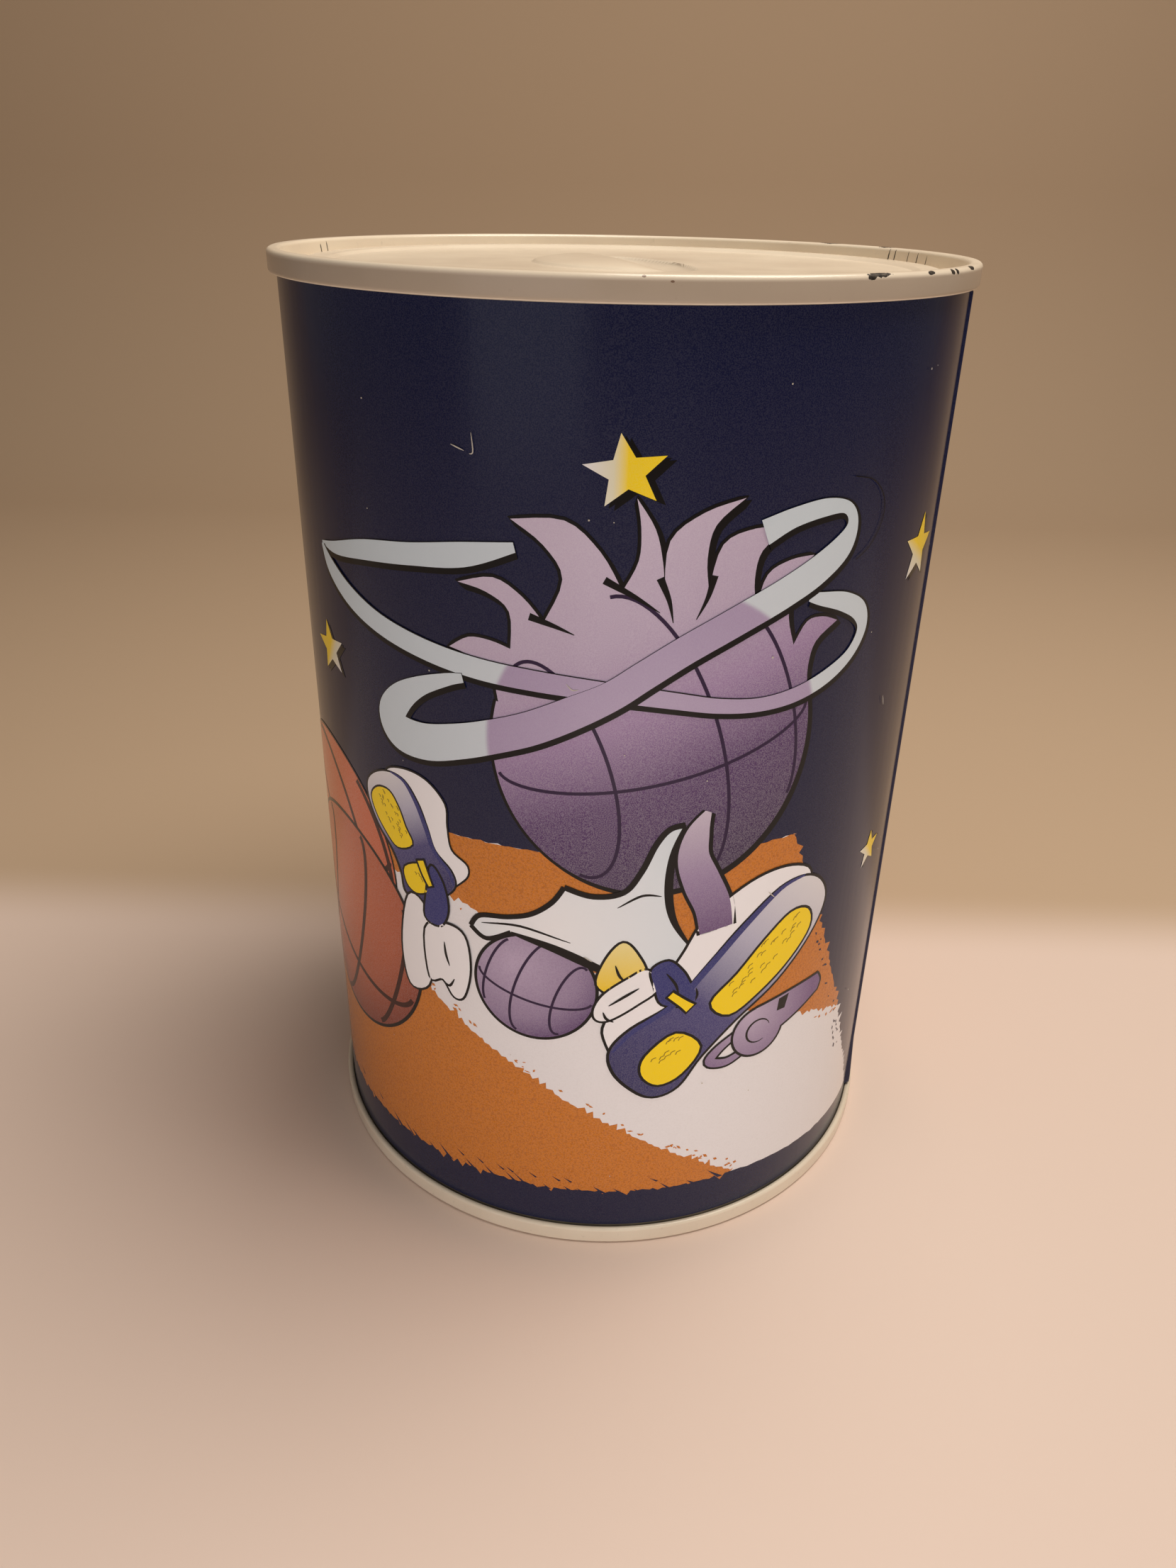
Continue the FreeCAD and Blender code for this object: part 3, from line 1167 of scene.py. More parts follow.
@dataclass
class Swirl:
    """The two pale ribbons that whirl round the ball, tinted where they cross it."""

    ball: FlamingBall
    upper: tuple[tuple[float, float, float], ...] = (
        (-12.3, 117.9, 1.3), (-19.3, 116.2, 3.2), (-27.5, 115.0, 3.0), (-36.0, 113.9, 2.8),
        (-43.6, 112.5, 1.8), (-47.8, 112.4, 0.3))
    lower: tuple[tuple[float, float, float], ...] = (
        (-47.8, 112.2, 0.6), (-45.4, 109.4, 2.4), (-40.6, 106.5, 3.0), (-34.0, 104.1, 3.0),
        (-25.5, 102.3, 3.0), (-17.5, 101.2, 3.0), (-10.0, 100.6, 2.9), (-3.0, 100.0, 2.7),
        (3.0, 99.3, 2.5), (8.6, 98.4, 2.3), (14.5, 97.3, 2.1), (20.5, 96.8, 2.0), (26.2, 97.4, 2.2),
        (31.5, 99.1, 2.2), (35.5, 101.5, 1.8), (37.3, 104.6, 2.0), (36.2, 107.3, 2.7),
        (32.8, 109.2, 2.6), (28.6, 110.3, 1.8), (26.6, 110.8, 1.1))
    whirl: tuple[tuple[float, float, float], ...] = (
        (18.9, 120.0, 3.4), (22.8, 121.5, 2.6), (27.5, 122.3, 2.3), (31.2, 121.9, 1.6),
        (32.6, 119.8, 1.9), (31.3, 117.0, 3.6), (27.6, 114.4, 4.2), (22.6, 111.9, 4.2),
        (16.4, 109.0, 4.1), (9.9, 105.6, 4.0), (4.6, 102.2, 4.0), (0.3, 99.2, 4.1), (-4.6, 96.6, 4.6),
        (-10.3, 93.8, 4.8), (-15.6, 91.8, 4.9), (-21.0, 90.0, 5.2), (-26.6, 88.6, 5.6),
        (-31.2, 88.9, 5.8), (-32.6, 91.2, 5.2), (-30.6, 94.2, 4.2), (-27.0, 96.8, 2.8),
        (-22.4, 98.8, 1.8), (-19.9, 99.5, 1.3))

    def draw(self) -> bpy.types.Object:
        """Print each ribbon over its own black shadow.

        Returns:
            The film\'s object.
        """
        film = Film("print_swirl_ribbons", 14)
        edge = self.ball.radius / (self.ball.radius + 40)
        pale = Ink("ink_ribbon", ((0.0, ink(186, 170, 200)), (edge - 0.004, ink(176, 158, 192)),
                                  (edge + 0.004, ink(212, 222, 232)), (1.0, ink(204, 222, 232))),
                   across=self.ball.centre[0], height=self.ball.centre[1],
                   reach=self.ball.radius + 40, spread=Spread.ROUND, screen=0.06)
        for rise, ribbon in enumerate((self.upper, self.lower, self.whirl)):
            shape = band(ribbon, 8)
            film.print(OUTLINE, [moved(part, 0.2, -0.35) for part in band(widened(ribbon, 0.9), 8)],
                       2 * rise)
            film.print(pale, shape, 2 * rise + 1)
        return film.build()


@dataclass
class Stars:
    """Stars that run from white on their left to yellow, each on a black shadow."""

    name: str
    places: tuple[tuple[float, float, float, float, float], ...]

    def draw(self) -> bpy.types.Object:
        """Print every star; a place is (across, height, reach, turn, the blend's heading).

        Returns:
            The film\'s object.
        """
        film = Film(f"print_{self.name}", 4)
        for number, (across, height, reach, turn, heading) in enumerate(self.places):
            shape = star((across, height), reach, turn)
            blend = Ink(f"ink_star_{self.name}_{number}",
                        ((0.0, WHITE), (0.36, ink(236, 230, 200)), (0.52, YELLOW), (1.0, YELLOW)),
                        across=across - reach * math.cos(math.radians(heading)),
                        height=height - reach * math.sin(math.radians(heading)),
                        reach=2 * reach, heading=heading, screen=0.04)
            near, far = moved(shape, 0.1 * reach, -0.05 * reach), moved(shape, 0.22 * reach, -0.1 * reach)
            film.print(OUTLINE, [shape, near, far])
            film.print(blend, [shape], 1)
        return film.build()


@dataclass
class Vest:
    """A white sports vest that hangs from one shoulder, with thick black hem lines."""

    level: int = 9

    def draw(self) -> bpy.types.Object:
        """Print the vest, its hem, its folds and the scarf beside it.

        Returns:
            The film\'s object.
        """
        film = Film("print_vest", self.level)
        collar = curve([(-20.0, 60.2), (-18.4, 62.4), (-14.0, 63.2), (-10.4, 64.4), (-7.4, 66.8),
                        (-5.6, 69.6)])
        neck = curve([(-5.6, 69.6), (-1.5, 68.4), (2.8, 69.2), (5.2, 72.6), (7.0, 76.8), (8.8, 79.2),
                      (11.0, 79.8)])
        armhole = curve([(11.0, 79.8), (9.5, 75.0), (9.2, 69.0), (10.2, 64.0), (12.8, 59.4)])
        side = [(12.8, 59.4), (12.4, 52.0)]
        hem = curve([(12.4, 52.0), (5.0, 52.8), (-0.4, 55.9), (-7.0, 58.9), (-13.5, 60.5),
                     (-17.4, 58.4), (-20.0, 60.2)])
        cloth = Ink("ink_vest", ((0.0, ink(246, 246, 250)), (0.6, ink(228, 236, 244)),
                                 (1.0, ink(206, 220, 230))),
                    across=-8.0, height=62.0, reach=30.0, spread=Spread.ROUND, screen=0.06)
        film.print(cloth, [joined(collar, neck, armhole, side, hem)], 1)
        lines = pen(collar, 0.8) + pen(neck, 0.9) + pen(armhole, 1.3, taper=True)
        lines += pen(curve([(5.0, 52.8), (-0.4, 55.9), (-7.0, 58.9), (-13.5, 60.6)]), 1.5, taper=True)
        lines += pen(curve([(-13.5, 60.6), (-17.4, 58.6), (-20.0, 60.2)]), 0.8)
        lines += pen(curve([(-18.2, 61.2), (-12.0, 62.0), (-4.6, 60.2)]), 0.4, taper=True)
        lines += pen(curve([(2.0, 66.6), (5.4, 68.6), (8.2, 68.4)]), 0.4, taper=True)
        film.print(OUTLINE, lines, 2)
        self._scarf(film)
        return film.build()

    @staticmethod
    def _scarf(film: Film) -> None:
        """Print the lavender scarf that hangs at the vest's right.

        Args:
            film: the vest's film.
        """
        spine = ((14.2, 81.6, 1.0), (12.9, 78.4, 3.4), (12.5, 74.4, 4.6), (14.0, 70.2, 5.4),
                 (15.9, 66.0, 5.4), (16.8, 61.6, 5.2))
        wool = Ink("ink_scarf", ((0.0, ink(104, 74, 122)), (0.5, ink(158, 136, 172)),
                                 (1.0, ink(204, 192, 210))),
                   across=14.0, height=61.0, reach=21.0, heading=95.0, screen=0.1)
        film.print(OUTLINE, [moved(part, 0.1, -0.1) for part in band(widened(spine, 1.1))], 3)
        film.print(wool, band(spine), 4)


@dataclass
class Trainer:
    """A plain sports shoe seen from its sole, with two yellow tread pads."""

    name: str
    heel: Point
    turn: float
    level: int
    along: float = 1.0
    wide: float = 1.0
    mirrored: bool = False
    sole: tuple[Point, ...] = (
        (0.3, 0.4), (0.9, 4.8), (3.4, 8.0), (8.6, 8.6), (16.0, 7.0), (24.0, 7.6), (32.0, 7.9),
        (39.5, 6.8), (43.4, 3.4), (44.2, -0.8), (42.2, -4.4), (36.6, -6.0), (28.0, -5.8),
        (19.4, -4.2), (11.4, -4.1), (5.0, -5.2), (1.2, -3.4))
    upper: tuple[Point, ...] = (
        (4.0, 4.0), (4.6, 10.4), (8.6, 12.6), (15.0, 10.8), (22.6, 12.2), (29.6, 14.0), (37.6, 12.4),
        (42.6, 8.6), (44.4, 3.6), (40.0, 2.0), (20.0, 2.0))
    toe_pad: tuple[Point, ...] = (
        (19.4, -2.4), (25.0, -4.2), (32.0, -5.2), (37.6, -4.7), (39.6, -1.7), (37.6, 1.4),
        (32.0, 2.3), (25.4, 2.1), (19.4, 2.0))
    heel_pad: tuple[Point, ...] = (
        (12.6, -2.6), (7.2, -3.9), (3.4, -2.4), (3.2, 1.0), (6.2, 3.2), (12.2, 2.6))

    def _lay(self, points: Iterable[Point]) -> Path:
        """Put points of the shoe's own frame on the sheet."""
        flip = -1 if self.mirrored else 1
        flat = [(along * self.along, across * self.wide * flip) for along, across in points]
        return placed(flat, self.heel, self.turn)

    def draw(self) -> bpy.types.Object:
        """Print the upper, the sole, its welt and the two pads with their tread.

        Returns:
            The film\'s object.
        """
        film = Film(f"print_{self.name}", self.level)
        heading = self.turn
        thick = 0.9 * min(self.along, self.wide) ** 0.5
        upper = curve(self._lay(self.upper), 5, closed=True)
        sole = curve(self._lay(self.sole), 5, closed=True)
        rubber = Ink(f"ink_{self.name}_sole",
                     ((0.0, ink(44, 42, 96)), (0.42, ink(70, 66, 124)), (0.7, ink(186, 184, 206)),
                      (1.0, ink(232, 230, 234))),
                     across=self.heel[0], height=self.heel[1], reach=44 * self.along, heading=heading,
                     screen=0.08)
        film.print(OUTLINE, pen(upper, thick, closed=True))
        film.print(WHITE_INK, [upper], 1)
        film.print(OUTLINE, pen(sole, thick, closed=True) + [moved(sole, -0.45, -0.35)], 2)
        film.print(rubber, [sole], 3)
        welt = curve(self._lay((along, 0.8 * across + 1.2) for along, across in self.sole[2:9]), 5)
        film.print(VIOLET_INK, pen(welt, 1.3 * thick, taper=True), 4)
        pads = [curve(self._lay(pad), 4, closed=True) for pad in (self.toe_pad, self.heel_pad)]
        film.print(OUTLINE, pens(pads, thick, closed=True), 5)
        film.print(YELLOW_INK, pads, 6)
        film.print(TREAD_INK, self._tread(), 7)
        return film.build()

    def _tread(self) -> list[Path]:
        """Draw short wavy tread marks across both pads.

        Returns:
            Their patches.
        """
        dice = random.Random(11)
        marks = []
        for first, last, low, high in ((22.0, 37.5, -2.2, 2.0), (6.0, 11.6, -1.4, 2.4)):
            spot = first
            while spot < last:
                across = low + (high - low) * dice.random()
                stroke = [(spot, across), (spot + 0.5, across + 0.2), (spot + 1.1, across - 0.05)]
                marks += pen(self._lay(stroke), 0.16)
                spot += 0.55
        return marks


@dataclass
class SocksAndLaces:
    """The socks, strap and lace ends that belong to the two trainers."""

    level: int = 12

    def draw(self) -> bpy.types.Object:
        """Print the right shoe's sock and strap, then the left shoe's folded sock.

        Returns:
            The film\'s object.
        """
        film = Film("print_socks_and_laces", self.level)
        warm = Ink("ink_sock_yellow", ((0.0, ink(246, 206, 30)), (1.0, ink(244, 226, 150))),
                   across=2.0, height=52.0, reach=8.0, screen=0.05)
        sock = curve([(-0.6, 53.0), (0.6, 57.6), (3.0, 60.6), (5.2, 58.4), (6.4, 54.6), (2.6, 51.4)],
                     5, closed=True)
        cuff = curve([(-0.9, 48.6), (0.6, 51.4), (4.0, 54.2), (6.8, 55.6), (8.4, 52.2), (5.4, 49.4),
                      (1.4, 46.6), (-0.6, 46.6)], 5, closed=True)
        strap = curve([(7.4, 55.6), (9.8, 57.0), (12.0, 55.0), (13.4, 52.4), (14.4, 50.2), (13.0, 48.6),
                       (9.2, 49.2), (8.0, 52.4)], 5, closed=True)
        left_cuff = curve([(-28.4, 56.6), (-24.6, 58.9), (-21.2, 57.8), (-20.4, 52.0), (-21.6, 46.6),
                           (-23.4, 45.8), (-25.4, 48.4), (-28.0, 47.8)], 5, closed=True)
        left_leg = curve([(-31.6, 61.4), (-28.2, 60.4), (-27.4, 53.0), (-28.4, 46.0), (-32.4, 44.6),
                          (-33.6, 52.0)], 5, closed=True)
        left_strap = curve([(-26.6, 68.4), (-24.6, 66.0), (-23.9, 61.6), (-25.4, 58.4), (-28.2, 59.0),
                            (-27.6, 64.0)], 5, closed=True)
        for rise, (shape, finish) in enumerate((
                (sock, warm), (cuff, WHITE_INK), (strap, VIOLET_INK), (left_leg, WHITE_INK),
                (left_cuff, WHITE_INK), (left_strap, VIOLET_INK))):
            film.print(OUTLINE, pen(shape, 0.8, closed=True), rise)
            film.print(finish, [shape], rise + 1)
        folds = (
            [(1.2, 49.2), (3.6, 51.0), (5.6, 52.4)], [(0.4, 48.0), (0.9, 46.8), (2.0, 46.2)],
            [(2.0, 56.6), (2.6, 54.8), (3.4, 53.8)], [(9.6, 54.8), (11.0, 52.8), (11.6, 51.0)],
            [(-24.8, 55.6), (-24.6, 53.4), (-24.0, 51.4)], [(-25.6, 48.2), (-24.2, 47.6), (-23.2, 49.2)],
        )
        film.print(OUTLINE, pens(map(curve, folds), 0.45, taper=True), 8)
        film.print(OUTLINE, band([(10.2, 51.0, 1.9), (12.4, 49.0, 2.1), (13.8, 47.7, 2.5)])
                   + band([(-28.7, 68.9, 2.0), (-27.8, 66.6, 1.9), (-26.8, 64.5, 1.5)]), 9)
        film.print(YELLOW_INK, band([(10.4, 50.8, 1.1), (12.4, 49.0, 1.3), (13.6, 47.9, 1.7)])
                   + band([(-28.6, 68.6, 1.2), (-27.8, 66.6, 1.1), (-26.9, 64.8, 0.7)]), 10)
        return film.build()


@dataclass
class Whistle:
    """A lavender whistle on a short cord, lying on the floor."""

    level: int = 6

    def draw(self) -> bpy.types.Object:
        """Print the cord, the whistle's body and mouthpiece, and its sound hole.

        Returns:
            The film\'s object.
        """
        film = Film("print_whistle", self.level)
        shell = Ink("ink_whistle", ((0.0, ink(192, 176, 202)), (1.0, ink(118, 88, 138))),
                    across=24.0, height=44.0, reach=13.0, spread=Spread.ROUND, screen=0.08)
        body = joined(arc((26.0, 40.0), 4.6, 100, 350, 30),
                      curve([(30.5, 39.2), (34.0, 40.6), (38.6, 42.8)]),
                      curve([(38.6, 42.8), (39.0, 44.4), (38.2, 46.0)]),
                      curve([(38.2, 46.0), (32.0, 45.6), (25.2, 44.6)]))
        cord = ((22.0, 40.8, 1.0), (19.0, 38.6, 1.4), (17.6, 36.4, 1.6), (20.4, 35.6, 1.4),
                (23.4, 36.8, 1.0))
        film.print(OUTLINE, band(widened(cord, 0.8)))
        film.print(shell, band(cord), 1)
        film.print(OUTLINE, pen(body, 0.9, closed=True), 2)
        film.print(shell, [body], 3)
        hole = [(29.6, 44.9), (31.6, 45.2), (31.0, 42.6), (29.4, 42.6)]
        marks = [hole] + pen(arc((26.0, 40.0), 2.2, 20, 300, 20), 0.4, taper=True)
        film.print(OUTLINE, marks, 4)
        return film.build()


@dataclass
class Hoop:
    """The hoop on the back of the can: a white board, an orange ring and its net."""

    middle: float
    height: float = 96.0
    level: int = 6
    board_half: float = 27.0
    board_tall: float = 33.0

    def draw(self) -> bpy.types.Object:
        """Print the board with its target square, the ring and the knotted net.

        Returns:
            The film\'s object.
        """
        film = Film("print_hoop", self.level)
        low, high = self.height - 8, self.height - 8 + self.board_tall
        left, right = self.middle - self.board_half, self.middle + self.board_half
        board = [(left, low), (right, low), (right - 1.5, high), (left + 1.5, high)]
        target_half = 9.5
        target_high = self.height + 13
        target_low = self.height - 2
        target = [(self.middle - target_half, target_low), (self.middle + target_half, target_low),
                  (self.middle + target_half, target_high), (self.middle - target_half, target_high)]
        face = Ink("ink_board", ((0.0, ink(226, 226, 232)), (1.0, ink(190, 204, 216))),
                   across=left, height=low, reach=50.0, heading=30.0, screen=0.05)
        film.print(OUTLINE, pen(board, 1.6, closed=True) + [moved(board, 1.2, -1.0)])
        film.print(face, [board], 1)
        film.print(COURT_ORANGE, pen(target, 1.4, closed=True) + pen(
            [(left + 2.2, low + 2.2), (right - 2.2, low + 2.2), (right - 3.4, high - 2.2),
             (left + 3.4, high - 2.2)], 1.0, closed=True), 2)
        ring = (self.middle, self.height - 5)
        net = []
        strands, drop, reach = 9, 21.0, 12.5
        for strand in range(strands):
            for lean in (-1, 1):
                run = []
                for step in range(9):
                    share = step / 8
                    turn = math.pi * (strand + lean * share * 2.2) / (strands - 1)
                    wide = reach * (1 - 0.42 * share)
                    run.append((ring[0] - wide * math.cos(turn), ring[1] - drop * share
                                - 2.4 * math.sin(turn) * (1 - 0.4 * share)))
                net += pen(curve(run, 3), 0.55)
        film.print(WHITE_INK, net, 4)
        back = pen(arc(ring, 13.0, 0, 180, 40, 0.2), 1.5)
        front = pen(arc(ring, 13.0, 180, 360, 40, 0.2), 1.9)
        film.print(OUTLINE, pen(arc(ring, 13.0, 0, 360, 80, 0.2), 2.8), 3)
        film.print(COURT_ORANGE, back, 4)
        film.print(COURT_ORANGE, front, 5)
        return film.build()


@dataclass
class Scuffs:
    """Handling marks in the lacquer: pale scratches and a dark hair line."""

    pale: tuple[tuple[Point, ...], ...] = (
        ((-17.6, 131.2), (-17.4, 129.0), (-17.9, 128.7)), ((-20.4, 129.6), (-18.6, 129.0)),
        ((-5.6, 100.6), (-4.8, 99.8), (-4.0, 99.9)), ((25.0, 66.2), (26.2, 65.0)),
        ((-2.6, 58.0), (-1.4, 57.2)), ((46.0, 92.0), (46.6, 90.4)))
    dark: tuple[tuple[Point, ...], ...] = (
        ((32.0, 125.7), (35.6, 124.8), (38.2, 122.4), (38.6, 119.4), (36.8, 116.4), (34.0, 114.7)),)
    seed: int = 23

    def draw(self) -> bpy.types.Object:
        """Print the scratches, the hair line and a scatter of tiny specks.

        Returns:
            The film\'s object.
        """
        film = Film("print_scuffs", 24)
        dice = random.Random(self.seed)
        bare = Ink("scuff_bare", ((0.0, ink(196, 190, 180)),), screen=0.0, roughness=0.4)
        strokes = pens(map(curve, self.pale), 0.16, taper=True)
        for _ in range(46):
            spot, size = (dice.uniform(-150, 62), dice.uniform(14, 144)), 0.06 + 0.1 * dice.random()
            strokes.append(arc(spot, size, 0, 300, 5))
        film.print(bare, strokes)
        hairs = pens((curve(line, 8) for line in self.dark), 0.13)
        film.print(OUTLINE, hairs, 1)
        return film.build()


# ---------------------------------------------------------------- the can itself

CAN_HEIGHT = 149.0
SHEET = 0.28
FOLD_BEND = 0.36
LOCK_BEARING = -13.5


@dataclass
class Tube:
    """The printed tube, hooked over at both ends and joined by one folded lock seam."""

    wall: float = 49.51
    hook: float = 50.27
    hook_reach: float = 2.5
    hook_fold: float = 0.52
    seam_half: float = 1.9
    seam_proud: float = 0.45
    seam_groove: tuple[float, float, float] = (0.22, 0.35, 0.22)
    flare: float = 0.4
    flare_low: float = 5.1
    flare_high: float = 14.45
    bare_edge: float = 3.2
    fade: float = 0.4
    levels: tuple[float, ...] = (3.45, 3.7, 4.3, 5.1, 6.4, 8.0, 9.6, 11.2, 12.8, 14.45, 40.0, 75.0, 110.0)
    seam_steps: int = 24
    seam_step: float = 0.15

    def _seam(self, radius: float, height: float, bearing: float) -> float:
        """Let the lock seam stand proud of the wall, with a groove along its left edge.

        Args:
            radius: the plain wall's radius.
            height: height above the base.
            bearing: the angle round the tube, in radians.

        Returns:
            The wall's radius there.
        """
        turned = math.remainder(bearing - math.radians(LOCK_BEARING), 2 * math.pi)
        away = turned * TUBE_RADIUS
        inside = self.seam_half - abs(away)
        crown = min(1.0, max(0.0, (inside + 0.2) / 0.5))
        crown = math.sin(crown * math.pi / 2)
        depth, offset, width = self.seam_groove
        groove = depth * math.exp(-((away + self.seam_half + offset) / width) ** 2)
        ends = min(1.0, max(0.0, (height - self.bare_edge) / self.fade),
                   max(0.0, (CAN_HEIGHT - self.bare_edge - height) / self.fade))
        share = (self.flare_high - height) / (self.flare_high - self.flare_low)
        lift = self.flare * min(1.0, max(0.0, share))
        return radius + ends * ((self.seam_proud + lift) * crown - groove)

    def build(self) -> bpy.types.Object:
        """Make the tube, printed navy outside and bare inside.

        Returns:
            The piece\'s object.
        """
        low, high = self.hook_fold, CAN_HEIGHT - self.hook_fold
        path = bent([
            (self.hook, self.hook_reach, 0.0), (self.hook, low, FOLD_BEND), (self.wall, low, FOLD_BEND),
            (self.wall, high, FOLD_BEND), (self.hook, high, FOLD_BEND),
            (self.hook, CAN_HEIGHT - self.hook_reach, 0.0)])
        inner, outer = both_sides(path, SHEET)
        split = next(number for number, spot in enumerate(outer) if spot[1] > CAN_HEIGHT / 2)
        top_edge = CAN_HEIGHT - self.bare_edge
        lower = outer[:split] + [(TUBE_RADIUS, self.bare_edge)]
        upper = [(TUBE_RADIUS, top_edge)] + outer[split:]
        levels = (self.bare_edge, *self.levels, top_edge - 0.6, top_edge - 0.3, top_edge)
        fine = [math.radians(LOCK_BEARING + self.seam_step * step)
                for step in range(-self.seam_steps, self.seam_steps + 1)]
        coarse = [math.radians(LOCK_BEARING) + FACET * step for step in range(3, FACETS - 2)]
        bearings = fine + coarse
        maker = Maker()
        lathe(maker, [(TUBE_RADIUS, height) for height in levels], bearings, 0, self._seam)
        lathe(maker, upper + inner[::-1] + lower, bearings, 1)
        made = maker.build("printed_tube", [NAVY_GROUND.material(), BareTin().material()])
        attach(made, ROOT)
        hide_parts("body_shell")
        LOG.info("tube: %d faces", len(made.data.polygons))
        return made


@dataclass
class CoinSlot:
    """The lanced coin slot: one lip raised, the other sunk, turned on the lid."""

    turn: float = 19.0
    across: float = 1.9
    along: float = -0.7
    length: float = 34.0
    width: float = 2.4
    rise: float = 1.25
    rise_reach: float = 15.2
    roll: float = 5.5
    drop: float = 1.4
    drop_reach: float = 6.8
    shares: tuple[float, ...] = (0.2, 0.35, 0.5, 0.62, 0.72, 0.8, 0.87, 0.92, 0.96, 0.985, 1.0, 1.02)
    spokes: int = 48

    def _own(self, x: float, y: float) -> tuple[float, float]:
        """A point of the lid in the slot's own frame."""
        spot = Matrix.Rotation(-math.radians(self.turn), 2) @ Vector((x, y))
        return spot.x - self.across, spot.y - self.along

    def _on_lid(self, points: Iterable[Point]) -> Path:
        """Put points of the slot's own frame on the lid."""
        spin = Matrix.Rotation(math.radians(self.turn), 2)
        return [tuple(spin @ Vector((point[0] + self.across, point[1] + self.along))) for point in points]

    def lift(self, x: float, y: float) -> float:
        """Shape the lips: half-ellipsoids whose raised one rolls down again to the slot.

        Args:
            x, y: a point of the lid.

        Returns:
            How far the lid is lifted there.
        """
        across, along = self._own(x, y)
        reach, tall = (self.rise_reach, self.rise) if across < 0 else (self.drop_reach, -self.drop)
        left = 1 - (across / reach) ** 2 - (along / (self.length / 2)) ** 2
        rolled = min(1.0, max(0.0, (-across - self.width / 2) / self.roll)) if across < 0 else 1.0
        return tall * max(0.0, left) ** 0.5 * math.sin(rolled * math.pi / 2)

    def opening(self) -> Path:
        """Draw the cut.

        Returns:
            Its outline on the lid.
        """
        half, end = self.width / 2, self.length / 2 - self.width / 2
        sides = [(half, end * step / 24) for step in range(-24, 25)]
        far = [(half * math.cos(turn), end + half * math.sin(turn))
               for turn in (math.pi * step / 12 for step in range(1, 12))]
        loop = sides + far
        return self._on_lid(loop + [(-x, -y) for x, y in loop])

    def supports(self) -> Path:
        """Spread extra points that carry the lips' shape.

        Returns:
            The points on the lid.
        """
        spots = []
        for share in self.shares:
            for step in range(self.spokes + 1):
                turn = math.pi * (step / self.spokes - 0.5)
                along = share * math.sin(turn) * self.length / 2
                for reach in (self.drop_reach, -self.rise_reach):
                    across = share * reach * math.cos(turn)
                    if abs(across) > self.width / 2 + 0.1 or abs(along) > self.length / 2 + 0.1:
                        spots.append((across, along))
        return self._on_lid(spots)


